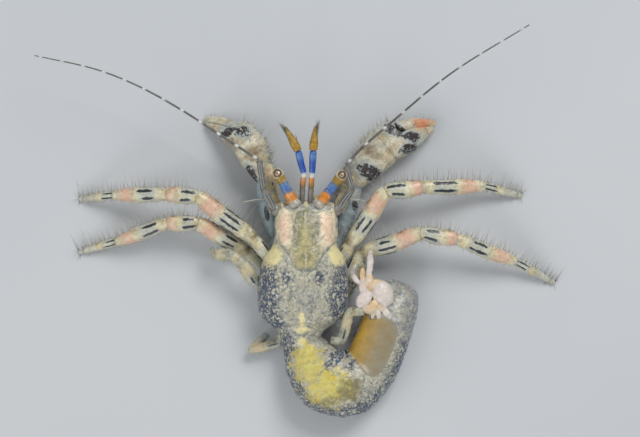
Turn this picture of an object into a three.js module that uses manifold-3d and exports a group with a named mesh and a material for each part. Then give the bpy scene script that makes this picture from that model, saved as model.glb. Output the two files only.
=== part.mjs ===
// A shell-less right-handed hermit crab at life size, lying as a still museum model.
// Millimetres, +Z up. The head faces -Y, so the animal's left is +X and its right is -X.
// The origin is on the floor, under the middle of the thorax.
import * as THREE from "three";
import { mergeVertices } from "three/addons/utils/BufferGeometryUtils.js";
import Module from "manifold-3d";

const wasm = await Module();
wasm.setup();

// ---------------------------------------------------------------- driving dimensions
const GAP = 0.12; // clearance between neighbouring pieces
const FLOOR_DEPTH = 20; // size of the block that trims what dips below the floor

const SHIELD = {
  front: -6.45, // tips of the rostrum and of the two lateral teeth
  notch: 0.55, // depth of the bays between those teeth
  rostrum: -0.1, // place of the rostrum across the body
  leftTooth: 2.3,
  rightTooth: -2.65,
  side: 3.6, // beyond the flanks, so the plate takes the trunk's full width here
  sideEnd: -2.9, // rear end of the straight sides
  shoulder: 1.75, // half width where the rear part starts
  shoulderEnd: -2.0,
  waist: 1.25, // half width half way along the rear part
  waistEnd: -0.9,
  rear: 0.25, // at the cervical groove
  rearHalf: 1.1,
  rearBow: 0.25,
  underside: 4.35, // level of the plate's flat underside
  height: 4,
};
const TRUNK_SPLIT = 2.35; // level where the carapace flank meets the thorax

// Trunk stations from front to rear: place along Y, half width, top and underside levels.
const TRUNK = [
  { y: -6.5, half: 3.0, top: 5.15, under: 2.1 },
  { y: -5.2, half: 3.1, top: 5.6, under: 1.2 },
  { y: -2.6, half: 3.2, top: 6.0, under: 0.35 },
  { y: -0.9, half: 4.1, top: 6.1, under: -0.12 },
  { y: 2.2, half: 4.5, top: 6.0, under: -0.12 },
  { y: 4.6, half: 4.05, top: 5.3, under: 0.05 },
  { y: 6.2, half: 2.0, top: 4.3, under: 1.2 },
];
const TRUNK_CENTRE = 0.2; // sideways place of the trunk's midline at the origin
const TRUNK_SKEW = 0.05; // sideways drift of that midline per millimetre towards the rear
const TRUNK_SQUARENESS = 0.86; // below 1 the cross-section is fuller than an ellipse

// Abdomen stations from the waist to its blind end: centre in plan and half width.
const ABDOMEN = [
  { x: 0.2, y: 5.9, half: 1.5 },
  { x: 0.15, y: 7.3, half: 2.1 },
  { x: -0.6, y: 9.1, half: 2.8 },
  { x: -2.2, y: 10.8, half: 3.4 },
  { x: -4.15, y: 11.25, half: 3.3 },
  { x: -6.1, y: 9.9, half: 2.8 },
  { x: -7.3, y: 7.6, half: 2.7 },
  { x: -8.25, y: 5.0, half: 2.65 },
  { x: -9.0, y: 2.9, half: 2.25 },
  { x: -9.2, y: 1.2, half: 1.6 },
];
const ABDOMEN_FLATNESS = 0.82; // height over width of the abdomen
const ABDOMEN_LENGTHS = 4; // lengths that the abdomen is divided into
const ABDOMEN_SINK = 0.1; // how far the round underside is pressed into a flat
const ABDOMEN_ROUND_FROM = 0.93; // share of its length where the blind end starts to round off
const ABDOMEN_END_HALF = 0.12; // what is left of the section, squared, at the very end

// Every article narrows a little at its joints, and a last one tapers to its tip.
const JOINT_WAIST = 0.16;
const TIP_TAPER = 0.45;
const WAIST_REACH = 0.09; // share of an article's length that the narrowing takes
const LIMB_DEPTH = 0.85; // height over width of a limb

// Half widths of the articles of a walking leg at base, middle and tip.
const LEG_WIDTHS = {
  ischium: [0.55, 0.66, 0.62],
  merus: [0.66, 0.94, 0.78],
  carpus: [0.66, 0.88, 0.76],
  propodus: [0.68, 0.78, 0.52],
  dactyl: [0.46, 0.38, 0.26],
};

// Each article: length, heading from straight ahead (positive to the animal's right), rise.
const WALKING_LEGS = {
  leg_2_right: {
    root: [-3.4, -0.9, 2.0],
    size: 1.0,
    ischium: [1.9, 31, 12],
    merus: [6.6, 34.5, 15],
    carpus: [3.45, 82, -5],
    propodus: [6.74, 89, -18],
    dactyl: [4.3, 104, -23],
  },
  leg_3_right: {
    root: [-3.9, 0.9, 1.5],
    size: 0.95,
    ischium: [3.0, 33, 8],
    merus: [6.5, 71, 18],
    carpus: [3.56, 98, -6],
    propodus: [6.76, 111, -18],
    dactyl: [4.85, 118, -17.5],
  },
  leg_2_left: {
    root: [3.7, -1.2, 2.2],
    size: 0.97,
    ischium: [2.45, -38, 13],
    merus: [7.15, -53.5, 12],
    carpus: [2.94, -84, -8],
    propodus: [5.92, -91, -22],
    dactyl: [3.92, -96, -24],
  },
  leg_3_left: {
    root: [3.9, 0.0, 1.1],
    size: 0.93,
    ischium: [2.65, -46, 5],
    merus: [6.0, -60.5, 18],
    carpus: [2.91, -90, -4],
    propodus: [5.88, -109, -18],
    dactyl: [4.12, -106, -15.5],
  },
};

const KNUCKLE = 0.22; // how far two articles of a short leg reach into each other
const KNUCKLE_END = 0.5; // what is left of an article's section, squared, at its ends

// Short fourth and fifth legs: length, heading, rise and three half widths per article.
const SHORT_LEGS = {
  leg_4_left: {
    root: [3.7, 2.3, 2.6],
    articles: [
      [1.5, -55, 10, 0.5, 0.55, 0.5],
      [2.7, -34, 8, 0.5, 0.66, 0.55],
      [1.2, -49, -8, 0.5, 0.55, 0.5],
      [1.8, -90, -12, 0.5, 0.62, 0.45],
      [0.8, -30, -25, 0.35, 0.3, 0.25],
    ],
  },
  leg_4_right: {
    root: [-3.4, 2.9, 1.7],
    articles: [
      [1.6, 40, 4, 0.5, 0.55, 0.5],
      [1.7, 20, 0, 0.5, 0.6, 0.5],
      [1.1, 48, -6, 0.45, 0.5, 0.4],
    ],
  },
  leg_5_left: {
    root: [2.1, 5.3, 1.9],
    articles: [
      [1.9, -168, -5, 0.4, 0.45, 0.42],
      [3.1, -106, -10, 0.4, 0.46, 0.42],
      [2.3, 44, -10, 0.4, 0.42, 0.3],
    ],
  },
  leg_5_right: {
    root: [-2.45, 6.95, 2.95],
    articles: [
      [1.15, 96, 10, 0.4, 0.42, 0.42],
      [3.1, 14, 6, 0.44, 0.54, 0.42],
      [1.6, 90, 2, 0.42, 0.46, 0.3],
    ],
  },
};

// Claw-bearing legs: root, then length, heading, rise and half widths of each article.
const CHELIPEDS = {
  cheliped_right: {
    root: [-2.6, -1.9, 1.7],
    depth: 0.86,
    ischium: [1.5, 28, 2, [0.55, 0.62, 0.6]],
    merus: [5.5, 17, 5, [0.66, 0.95, 0.8]],
    carpus: [4.75, [32, 41], 0, [0.78, 1.66, 2.0]],
    palm: [5.65, [59, 76], -13, [1.95, 1.9, 0.4]],
    hinge: 0.3,
    fingerHalf: [0.7, 0.62, 0.3],
    fingerOffset: 0.85,
  },
  cheliped_left: {
    root: [3.0, -1.9, 1.5],
    depth: 0.9,
    ischium: [1.3, -8, 2, [0.5, 0.55, 0.5]],
    merus: [5.9, -12, 5, [0.5, 0.86, 0.62]],
    carpus: [4.1, [-16, -26], 1, [0.64, 1.46, 1.66]],
    palm: [4.95, [-56, -72], -22, [1.62, 1.16, 0.34]],
    hinge: 0.36,
    fingerHalf: [0.5, 0.48, 0.26],
    fingerOffset: 0.5,
  },
};
const FINGER_BOW = 0.22; // how far the movable finger arches away from the fixed one
const FINGER_OVERHANG = 0.35; // how far its tip passes the fixed finger's
const FINGER_HEEL = 0.08; // room behind its hinge, as a share of its length
const FINGER_DEPTH = 1.25; // height over width of the movable finger

// Head appendages: each starts at its root and runs with its own heading, rise and length.
const EYESTALKS = {
  left: { root: [0.95, -6.3, 4.8], heading: -29, length: 3.85, rise: 5 },
  right: { root: [-1.1, -6.3, 4.8], heading: 38, length: 4.05, rise: 5 },
};
const EYESTALK_HALF = [0.62, 0.5, 0.5];
const CORNEA_RADIUS = 0.56;
const CORNEA_INSET = 0.1;
const LASH_GAP = 0.01; // gap between antennule and lash, as a share of the whole line

const ANTENNULES = {
  left: { root: [0.4, -6.3, 4.05], headings: [2, 5, -14], lengths: [1.9, 1.4, 2.45] },
  right: { root: [-0.35, -6.3, 4.05], headings: [5, 4, 3], lengths: [1.9, 1.4, 2.45] },
};
const ANTENNULE_RISES = [6, 12, 14];
const ANTENNULE_HALF = [0.27, 0.27, 0.33, 0.3, 0.33, 0.38, 0.38];
const ANTENNULE_LASH = { left: [2.7, -28], right: [2.4, 5] }; // length and heading
const ANTENNULE_LASH_HALF = [0.36, 0.4, 0.34, 0.25, 0.25];

const ANTENNAE = {
  left: {
    root: [3.1, -6.0, 4.25],
    peduncle: [[2.3, -27, 8], [2.9, -10, 6]],
    lash: [[7.0, -12.45, 5.3], [12.4, -15.95, 5.9], [16.7, -18.3, 6.1], [20.8, -19.9, 6.2]],
    tip: [26.8, -21.25, 6.1],
  },
  right: {
    root: [-3.2, -6.0, 4.3],
    peduncle: [[2.5, 32, 8], [2.3, -13, 8]],
    lash: [[-5.3, -11.9, 5.2], [-8.4, -14.6, 5.8], [-14.3, -19.45, 6.7]],
    tip: [-22.05, -24.25, 7.5],
  },
};
const PEDUNCLE_HALF = [0.42, 0.36, 0.3];
const LASH_HALF = [0.28, 0.26, 0.25];

const MAXILLIPEDS = {
  left: { root: [3.0, -5.9, 3.25], articles: [[1.9, -14, 4], [2.9, -4, 5]] },
  right: { root: [-3.1, -5.9, 3.3], articles: [[2.0, 26, 4], [1.9, 12, 5]] },
};
const MAXILLIPED_HALF = [0.55, 0.62, 0.5, 0.66, 0.36];
const MAXILLIPED_DEPTH = 0.8;

const TAIL_CENTRE = [-7.6, 2.4, 4.1];
const PLATE_HALF = 0.3; // half thickness of the plates of the tail fan
const PLATE_END = 0.3; // what is left of a plate's section, squared, at its ends
const TAIL_PLATES = {
  tail_somite: {
    offset: [0, 0, 0],
    heading: 60,
    length: 2.1,
    halves: [0.9, 1.1, 0.95],
    depth: 0.62,
  },
  telson: { offset: [0.95, 0.6, 0], heading: -33, length: 2.4, halves: [0.42, 0.5, 0.5] },
  uropod_right: { offset: [-0.1, 1.95, 0], heading: 176, length: 1.6, halves: [0.6, 0.95, 1.1] },
};
const UROPOD_LEFT = {
  offset: [1.5, 0.9, -0.5],
  articles: [[1.25, -29, 0], [2.0, 14, 2], [2.1, 11, 4]],
  halves: [0.5, 0.75, 0.55, 0.36, 0.36, 0.34, 0.26],
};

// ---------------------------------------------------------------- colours and finishes
const finish = (color, roughness = 0.45) =>
  new THREE.MeshStandardMaterial({ color, roughness, metalness: 0 });

const PLATE = finish("#e6dcb8");
const FLANK = finish("#8fa0b4");
const BELLY = finish("#cfc4a4");
const LIMB = finish("#e8cdb4");
const CLAW = finish("#ded3b0");
const BLUE_GREY = finish("#8ca0af");
const ABDOMEN_SKIN = finish("#b9ad78", 0.35);
const TAIL = finish("#f0e2bd");
const EYESTALK = finish("#e08a2a");
const CORNEA = finish("#e9dcae", 0.15);
const ANTENNULE = finish("#2d62d0");
const LASH_TIP = finish("#c9a51e");
const FEELER = finish("#b9b4a6");
const MOUTH = finish("#e9d9a8");

// ---------------------------------------------------------------- solids and cuts
function merged(geometry) {
  const bare = geometry.clone();
  bare.deleteAttribute("normal");
  bare.deleteAttribute("uv");
  return mergeVertices(bare, 1e-5);
}

function toManifold(geometry) {
  const bare = merged(geometry);
  const mesh = new wasm.Mesh({
    numProp: 3,
    vertProperties: new Float32Array(bare.attributes.position.array),
    triVerts: new Uint32Array(bare.index.array),
  });
  return new wasm.Manifold(mesh);
}

function toGeometry(manifold) {
  const mesh = manifold.getMesh();
  const geometry = new THREE.BufferGeometry();
  geometry.setAttribute("position", new THREE.BufferAttribute(mesh.vertProperties, 3));
  geometry.setIndex(new THREE.BufferAttribute(mesh.triVerts, 1));
  return largestShell(geometry);
}

// Keeps the biggest connected shell, so a cut leaves no loose crumbs.
function largestShell(geometry) {
  const index = geometry.index.array;
  const parent = Array.from({ length: geometry.attributes.position.count }, (_, i) => i);
  const find = (i) => {
    while (parent[i] !== i) {
      parent[i] = parent[parent[i]];
      i = parent[i];
    }
    return i;
  };
  for (let i = 0; i < index.length; i += 3) {
    parent[find(index[i])] = find(index[i + 1]);
    parent[find(index[i + 1])] = find(index[i + 2]);
  }
  const shells = new Map();
  for (let i = 0; i < index.length; i += 3) {
    const root = find(index[i]);
    if (!shells.has(root)) {
      shells.set(root, []);
    }
    shells.get(root).push(index[i], index[i + 1], index[i + 2]);
  }
  const sizes = [...shells.values()].sort((a, b) => b.length - a.length);
  const kept = geometry.clone();
  kept.setIndex(sizes[0]);
  return kept;
}

function cutAway(geometry, ...tools) {
  let solid = toManifold(geometry);
  for (const tool of tools) {
    solid = solid.subtract(toManifold(tool));
  }
  return toGeometry(solid);
}

function joined(geometries) {
  const [first, ...others] = geometries.map(toManifold);
  return toGeometry(others.reduce((solid, other) => solid.add(other), first));
}

function common(geometry, tool) {
  return toGeometry(toManifold(geometry).intersect(toManifold(tool)));
}

function block(low, high) {
  const size = new THREE.Vector3().subVectors(high, low);
  const box = new THREE.BoxGeometry(size.x, size.y, size.z);
  const centre = new THREE.Vector3().addVectors(low, high).multiplyScalar(0.5);
  return box.translate(centre.x, centre.y, centre.z);
}

// The space under the floor. What dips into it is trimmed to a small flat.
const UNDER_FLOOR = block(
  new THREE.Vector3(-2 * FLOOR_DEPTH, -2 * FLOOR_DEPTH, -FLOOR_DEPTH),
  new THREE.Vector3(2 * FLOOR_DEPTH, 2 * FLOOR_DEPTH, 0),
);

function setOnFloor(geometry) {
  geometry.computeBoundingBox();
  return geometry.boundingBox.min.z < 0 ? cutAway(geometry, UNDER_FLOOR) : geometry;
}

// ---------------------------------------------------------------- lofted forms
// A smooth value through evenly spaced stations.
function blend(values, s) {
  const curve = new THREE.CatmullRomCurve3(values.map((value) => new THREE.Vector3(value)));
  return curve.getPoint(THREE.MathUtils.clamp(s, 0, 1)).x;
}

// A rounded bar along a curve. The section at s is an ellipse, 2*width by 2*height.
function loft(curve, from, to, { width, height, sides = 10, steps = 6 }) {
  const bar = new THREE.CylinderGeometry(1, 1, 1, sides, steps);
  const place = bar.attributes.position;
  const up = new THREE.Vector3(0, 0, 1);
  for (let i = 0; i < place.count; i += 1) {
    const s = place.getY(i) + 0.5;
    const t = THREE.MathUtils.lerp(from, to, s);
    const point = curve.getPoint(THREE.MathUtils.clamp(t, 0, 1));
    const along = curve.getTangent(THREE.MathUtils.clamp(t, 0, 1));
    point.addScaledVector(along, (t - THREE.MathUtils.clamp(t, 0, 1)) * curve.getLength());
    const side = new THREE.Vector3().crossVectors(along, up).normalize();
    const top = new THREE.Vector3().crossVectors(side, along);
    point.addScaledVector(side, place.getX(i) * width(s));
    point.addScaledVector(top, place.getZ(i) * height(s));
    place.setXYZ(i, point.x, point.y, point.z);
  }
  return merged(bar);
}

function direction(heading, rise) {
  const h = THREE.MathUtils.degToRad(heading);
  const r = THREE.MathUtils.degToRad(rise);
  return new THREE.Vector3(-Math.sin(h) * Math.cos(r), -Math.cos(h) * Math.cos(r), Math.sin(r));
}

// Walks along a limb and returns its smooth centre line, whose articles take equal spans.
function limbLine(root, articles) {
  const at = new THREE.Vector3(...root);
  const points = [at.clone()];
  for (const [length, heading, rise] of articles) {
    const [first, second] = Array.isArray(heading) ? heading : [heading, heading];
    points.push(at.addScaledVector(direction(first, rise), length / 2).clone());
    points.push(at.addScaledVector(direction(second, rise), length / 2).clone());
  }
  return new THREE.CatmullRomCurve3(points);
}

// One article of a limb, a little waisted at both of its joints.
function article(line, index, count, length, halves, options) {
  const { depth = LIMB_DEPTH, grow = 0, tip = false, ...rest } = options;
  const trim = grow > 0 ? -grow : GAP / 2;
  const margin = trim / length / count;
  const from = index / count + (index === 0 ? 0 : margin);
  const to = (index + 1) / count - (tip ? 0 : margin);
  const waist = (s) => {
    const near = 1 - JOINT_WAIST * Math.exp(-((s / WAIST_REACH) ** 2));
    const far = 1 - (tip ? TIP_TAPER : JOINT_WAIST) * Math.exp(-(((1 - s) / WAIST_REACH) ** 2));
    return near * far;
  };
  const width = (s) => blend(halves, s) * waist(s) + grow;
  const height = (s) => blend(halves, s) * waist(s) * depth + grow;
  return loft(line, from, to, { width, height, ...rest });
}

// Every article of a limb as [name, grow => solid], from the body outwards.
function limbPieces(name, root, articles, options = {}) {
  const line = limbLine(root, articles);
  return articles.map(([length, , , halves, part], index) => {
    const tip = index === articles.length - 1;
    const build = (grow) =>
      article(line, index, articles.length, length, halves, { ...options, grow, tip });
    return [part ? `${name}_${part}` : name, build];
  });
}

// ---------------------------------------------------------------- trunk
function trunkAt(key, y) {
  const keys = TRUNK.map((station) => station.y);
  const curve = new THREE.CatmullRomCurve3(
    TRUNK.map((station) => new THREE.Vector3(station[key], station.y, 0)),
  );
  let low = 0;
  let high = 1;
  for (let i = 0; i < 30; i += 1) {
    const middle = (low + high) / 2;
    if (curve.getPoint(middle).y < THREE.MathUtils.clamp(y, keys[0], keys.at(-1))) {
      low = middle;
    } else {
      high = middle;
    }
  }
  return curve.getPoint(low).x;
}

function trunk(grow) {
  const bar = new THREE.CylinderGeometry(1, 1, 1, 22, 11);
  const place = bar.attributes.position;
  const front = TRUNK[0].y - grow;
  const rear = TRUNK.at(-1).y + grow;
  for (let i = 0; i < place.count; i += 1) {
    const y = THREE.MathUtils.lerp(rear, front, place.getY(i) + 0.5);
    const half = trunkAt("half", y) + grow;
    const top = trunkAt("top", y) + grow;
    const under = trunkAt("under", y) - grow;
    const fuller = (v) => Math.sign(v) * Math.abs(v) ** TRUNK_SQUARENESS;
    const x = TRUNK_CENTRE + TRUNK_SKEW * y - fuller(place.getX(i)) * half;
    const z = (top + under) / 2 + fuller(place.getZ(i)) * ((top - under) / 2);
    place.setXYZ(i, x, y, z);
  }
  return merged(bar);
}

// The shield's outline seen from above: toothed front edge, waisted and tapering rear.
function shieldPrism(grow) {
  const outline = new THREE.Shape();
  const side = (x) => x + Math.sign(x) * grow;
  const front = SHIELD.front - grow;
  const corner = SHIELD.front + SHIELD.notch;
  const rear = SHIELD.rear + grow;
  const bay = (tooth) => [(SHIELD.rostrum + tooth) / 2, front + SHIELD.notch];
  outline.moveTo(side(-SHIELD.side), corner);
  outline.lineTo(side(SHIELD.rightTooth), front);
  outline.quadraticCurveTo(...bay(SHIELD.rightTooth), SHIELD.rostrum, front);
  outline.quadraticCurveTo(...bay(SHIELD.leftTooth), side(SHIELD.leftTooth), front);
  outline.lineTo(side(SHIELD.side), corner);
  outline.lineTo(side(SHIELD.side), SHIELD.sideEnd);
  const mid = (SHIELD.side + SHIELD.shoulder) / 2;
  outline.quadraticCurveTo(side(mid), SHIELD.sideEnd, side(SHIELD.shoulder), SHIELD.shoulderEnd);
  outline.quadraticCurveTo(side(SHIELD.waist), SHIELD.waistEnd, side(SHIELD.rearHalf), rear);
  outline.quadraticCurveTo(0, rear + SHIELD.rearBow, side(-SHIELD.rearHalf), rear);
  outline.quadraticCurveTo(
    side(-SHIELD.waist), SHIELD.waistEnd, side(-SHIELD.shoulder), SHIELD.shoulderEnd,
  );
  outline.quadraticCurveTo(side(-mid), SHIELD.sideEnd, side(-SHIELD.side), SHIELD.sideEnd);
  const prism = new THREE.ExtrudeGeometry(outline, {
    depth: SHIELD.height,
    bevelEnabled: false,
    curveSegments: 4,
  });
  return prism.translate(0, 0, SHIELD.underside - grow);
}

function trunkPieces() {
  const whole = trunk(0);
  const wide = 2 * FLOOR_DEPTH;
  const lower = block(
    new THREE.Vector3(-wide, -wide, -wide),
    new THREE.Vector3(wide, wide, TRUNK_SPLIT - GAP / 2),
  );
  const upper = block(
    new THREE.Vector3(-wide, -wide, TRUNK_SPLIT + GAP / 2),
    new THREE.Vector3(wide, wide, wide),
  );
  return {
    shield: common(whole, shieldPrism(0)),
    carapace: cutAway(common(whole, upper), shieldPrism(GAP)),
    thorax: common(whole, lower),
  };
}

// ---------------------------------------------------------------- abdomen and tail
function abdomenLine() {
  const level = (station) => station.half * ABDOMEN_FLATNESS - ABDOMEN_SINK;
  return new THREE.CatmullRomCurve3(
    ABDOMEN.map((station) => new THREE.Vector3(station.x, station.y, level(station))),
  );
}

function abdomenPieces() {
  const line = abdomenLine();
  const halves = ABDOMEN.map((station) => station.half);
  const past = (t) => Math.max(0, (t - ABDOMEN_ROUND_FROM) / (1 - ABDOMEN_ROUND_FROM));
  const half = (t) => blend(halves, t) * Math.sqrt(Math.max(ABDOMEN_END_HALF, 1 - past(t) ** 2));
  return Array.from({ length: ABDOMEN_LENGTHS }, (_, i) => {
    const build = (grow) => {
      const margin = (grow > 0 ? -grow : GAP / 2) / line.getLength();
      const from = i / ABDOMEN_LENGTHS + margin;
      const to = (i + 1) / ABDOMEN_LENGTHS - (i === ABDOMEN_LENGTHS - 1 ? 0 : margin);
      const at = (s) => THREE.MathUtils.lerp(from, to, s);
      return loft(line, from, to, {
        width: (s) => half(at(s)) + grow,
        height: (s) => half(at(s)) * ABDOMEN_FLATNESS + grow,
        sides: 18,
        steps: 5,
      });
    };
    return [`abdomen_${i + 1}`, build];
  });
}

// A plate of the tail fan: a short flattened bar with rounded ends.
function plate({ offset, heading, length, halves, depth = PLATE_HALF }, grow) {
  const centre = new THREE.Vector3(...TAIL_CENTRE).add(new THREE.Vector3(...offset));
  const along = direction(heading, 0).multiplyScalar(length / 2);
  const start = centre.clone().sub(along);
  const end = centre.clone().add(along);
  const line = new THREE.CatmullRomCurve3([start, centre, end]);
  const ends = (s) => Math.sqrt(Math.max(PLATE_END, 1 - (2 * s - 1) ** 4));
  return loft(line, -grow / length, 1 + grow / length, {
    width: (s) => blend(halves, s) * ends(s) + grow,
    height: (s) => depth * ends(s) + grow,
    sides: 10,
    steps: 4,
  });
}

// The left uropod is the long one: its stem, then the slender curved blade.
function leftUropod(grow) {
  const root = TAIL_CENTRE.map((value, axis) => value + UROPOD_LEFT.offset[axis]);
  return loft(limbLine(root, UROPOD_LEFT.articles), 0, 1, {
    width: (s) => blend(UROPOD_LEFT.halves, s) + grow,
    height: () => PLATE_HALF + grow,
    sides: 8,
    steps: 8,
  });
}

function tailPieces() {
  const plates = Object.entries(TAIL_PLATES);
  return [
    ...plates.map(([name, sizes]) => [name, (grow) => plate(sizes, grow)]),
    ["uropod_left", leftUropod],
  ];
}

// ---------------------------------------------------------------- limbs
function walkingLegPieces() {
  return Object.entries(WALKING_LEGS).flatMap(([name, leg]) => {
    const articles = Object.entries(LEG_WIDTHS).map(([part, halves]) => [
      ...leg[part],
      halves.map((half) => half * leg.size),
      part,
    ]);
    return limbPieces(name, leg.root, articles, { sides: 8, steps: 4 });
  });
}

// A short leg is one node: straight articles joined into one body at their bent joints.
function shortLegPieces() {
  return Object.entries(SHORT_LEGS).map(([name, leg]) => {
    const build = (grow) => {
      const at = new THREE.Vector3(...leg.root);
      const bars = leg.articles.map(([length, heading, rise, ...halves]) => {
        const start = at.clone();
        const line = new THREE.LineCurve3(
          start,
          at.addScaledVector(direction(heading, rise), length).clone(),
        );
        const lap = (KNUCKLE + grow) / length;
        const ends = (s) => Math.sqrt(Math.max(KNUCKLE_END, 1 - (2 * s - 1) ** 4));
        return loft(line, -lap, 1 + lap, {
          width: (s) => blend(halves, s) * ends(s) + grow,
          height: (s) => blend(halves, s) * ends(s) * LIMB_DEPTH + grow,
          sides: 6,
          steps: 3,
        });
      });
      return joined(bars);
    };
    return [name, build];
  });
}

// The palm carries the fixed finger; the movable finger closes against its inner side.
function chelipedPieces() {
  return Object.entries(CHELIPEDS).flatMap(([name, limb]) => {
    const parts = ["ischium", "merus", "carpus", "palm"];
    const articles = parts.map((part) => [...limb[part], part]);
    const [ischium, merus, carpus, palm] = limbPieces(name, limb.root, articles, {
      depth: limb.depth,
      sides: 12,
      steps: 6,
    });
    const line = limbLine(limb.root, articles);
    const inward = name.endsWith("right") ? -1 : 1;
    const hinge = line.getPoint(THREE.MathUtils.lerp(0.75, 1, limb.hinge));
    const tip = line.getPoint(1);
    const along = line.getTangent(0.98);
    const side = new THREE.Vector3().crossVectors(along, new THREE.Vector3(0, 0, 1)).normalize();
    hinge.addScaledVector(side, inward * limb.fingerOffset);
    tip.addScaledVector(side, inward * FINGER_BOW).addScaledVector(along, FINGER_OVERHANG);
    const bow = hinge.clone().lerp(tip, 0.5).addScaledVector(side, inward * FINGER_BOW);
    const fingerLine = new THREE.CatmullRomCurve3([hinge, bow, tip]);
    const finger = (grow) =>
      loft(fingerLine, grow > 0 ? -FINGER_HEEL : 0, 1, {
        width: (s) => blend(limb.fingerHalf, s) + grow,
        height: (s) => blend(limb.fingerHalf, s) * FINGER_DEPTH + grow,
        sides: 8,
        steps: 5,
      });
    return [[`${name}_dactyl`, finger], palm, carpus, merus, ischium];
  });
}

// ---------------------------------------------------------------- head appendages
function eyePieces(side) {
  const eye = EYESTALKS[side];
  const line = limbLine(eye.root, [[eye.length, eye.heading, eye.rise]]);
  const centre = line.getPoint(1).addScaledVector(line.getTangent(1), -CORNEA_INSET);
  const stalk = (grow) =>
    loft(line, 0, 1, {
      width: (s) => blend(EYESTALK_HALF, s) + grow,
      height: (s) => blend(EYESTALK_HALF, s) + grow,
      sides: 8,
      steps: 4,
    });
  const cornea = (grow) => {
    const ball = new THREE.SphereGeometry(CORNEA_RADIUS + grow, 10, 6);
    return merged(ball.translate(centre.x, centre.y, centre.z));
  };
  return [
    [`cornea_${side}`, cornea],
    [`eyestalk_${side}`, stalk],
  ];
}

function antennulePieces(side) {
  const antennule = ANTENNULES[side];
  const articles = antennule.lengths.map((length, i) => [
    length,
    antennule.headings[i],
    ANTENNULE_RISES[i],
  ]);
  const [lashLength, lashHeading] = ANTENNULE_LASH[side];
  const line = limbLine(antennule.root, [...articles, [lashLength, lashHeading, 8]]);
  const total = articles.length + 1;
  const joint = articles.length / total;
  return [
    [
      `antennule_${side}`,
      (grow) =>
        loft(line, 0, joint - LASH_GAP, {
          width: (s) => blend(ANTENNULE_HALF, s) + grow,
          height: (s) => blend(ANTENNULE_HALF, s) + grow,
          sides: 6,
          steps: 7,
        }),
    ],
    [
      `antennule_lash_${side}`,
      (grow) =>
        loft(line, joint + LASH_GAP, 1, {
          width: (s) => blend(ANTENNULE_LASH_HALF, s) + grow,
          height: (s) => blend(ANTENNULE_LASH_HALF, s) + grow,
          sides: 6,
          steps: 5,
        }),
    ],
  ];
}

function antennaPieces(side) {
  const antenna = ANTENNAE[side];
  const line = limbLine(antenna.root, antenna.peduncle);
  const end = line.getPoint(1);
  const away = line.getTangent(1);
  const tip = new THREE.Vector3(...antenna.tip);
  const start = end.clone().addScaledVector(away, GAP);
  const middles = antenna.lash.map((place) => new THREE.Vector3(...place));
  const lashLine = new THREE.CatmullRomCurve3([start, ...middles, tip]);
  return [
    [
      `antenna_${side}`,
      (grow) =>
        loft(line, 0, 1, {
          width: (s) => blend(PEDUNCLE_HALF, s) + grow,
          height: (s) => blend(PEDUNCLE_HALF, s) + grow,
          sides: 8,
          steps: 5,
        }),
    ],
    [
      `antenna_lash_${side}`,
      (grow) =>
        loft(lashLine, 0, 1, {
          width: (s) => blend(LASH_HALF, s) + grow,
          height: (s) => blend(LASH_HALF, s) + grow,
          sides: 6,
          steps: 12,
        }),
    ],
  ];
}

function maxillipedPieces(side) {
  const limb = MAXILLIPEDS[side];
  const line = limbLine(limb.root, limb.articles);
  const build = (grow) =>
    loft(line, 0, 1, {
      width: (s) => blend(MAXILLIPED_HALF, s) + grow,
      height: (s) => blend(MAXILLIPED_HALF, s) * MAXILLIPED_DEPTH + grow,
      sides: 8,
      steps: 6,
    });
  return [[`maxilliped_${side}`, build]];
}

// ---------------------------------------------------------------- assembly
function colourOf(name) {
  const rules = [
    ["shield", PLATE],
    ["carapace", FLANK],
    ["thorax", BELLY],
    ["abdomen", ABDOMEN_SKIN],
    ["cornea", CORNEA],
    ["eyestalk", EYESTALK],
    ["antennule_lash", LASH_TIP],
    ["antennule", ANTENNULE],
    ["antenna", FEELER],
    ["maxilliped", MOUTH],
    ["leg_", LIMB],
    ["cheliped_left_merus", BLUE_GREY],
    ["cheliped_right_merus", BLUE_GREY],
    ["cheliped", CLAW],
  ];
  const rule = rules.find(([start]) => name.startsWith(start));
  return rule ? rule[1] : TAIL;
}

// Two articles of one limb already meet with a clear gap.
function sameLimb(a, b) {
  const limb = (name) => name.match(/^(leg_\d|cheliped)_(left|right)|^abdomen/)?.[0];
  const finger = a.endsWith("_dactyl") && b.endsWith("_palm");
  return limb(a) !== undefined && limb(a) === limb(b) && !finger;
}

// Builds the pieces in order of standing: a later one gives way to those before it.
function assemble() {
  const body = trunkPieces();
  const heads = ["left", "right"];
  const pieces = [
    ...heads.flatMap(eyePieces),
    ...heads.flatMap(antennulePieces),
    ...heads.flatMap(antennaPieces),
    ...heads.flatMap(maxillipedPieces),
    ...tailPieces(),
    ...chelipedPieces(),
    ...walkingLegPieces(),
    ...shortLegPieces(),
    ...abdomenPieces(),
  ];
  const bodyGrown = trunk(GAP);
  const placed = [];
  const group = new THREE.Group();
  const add = (name, geometry) => {
    const shaded = geometry.toNonIndexed();
    shaded.computeVertexNormals();
    const mesh = new THREE.Mesh(shaded, colourOf(name));
    mesh.name = name;
    group.add(mesh);
  };
  for (const [name, geometry] of Object.entries(body)) {
    add(name, setOnFloor(geometry));
  }
  for (const [name, build] of pieces) {
    let solid = build(0);
    solid.computeBoundingBox();
    const around = solid.boundingBox.clone();
    const near = placed.filter((other) => other.box.intersectsBox(around) && !sameLimb(other.name, name));
    const tools = near.map((other) => other.build(GAP));
    bodyGrown.computeBoundingBox();
    if (bodyGrown.boundingBox.intersectsBox(around)) {
      tools.push(bodyGrown);
    }
    solid = tools.length > 0 ? cutAway(solid, ...tools) : solid;
    add(name, setOnFloor(solid));
    const grownBox = around.clone().expandByScalar(GAP);
    placed.push({ name, build, box: grownBox });
  }
  return group;
}

const group = assemble();

export default group;
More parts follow.
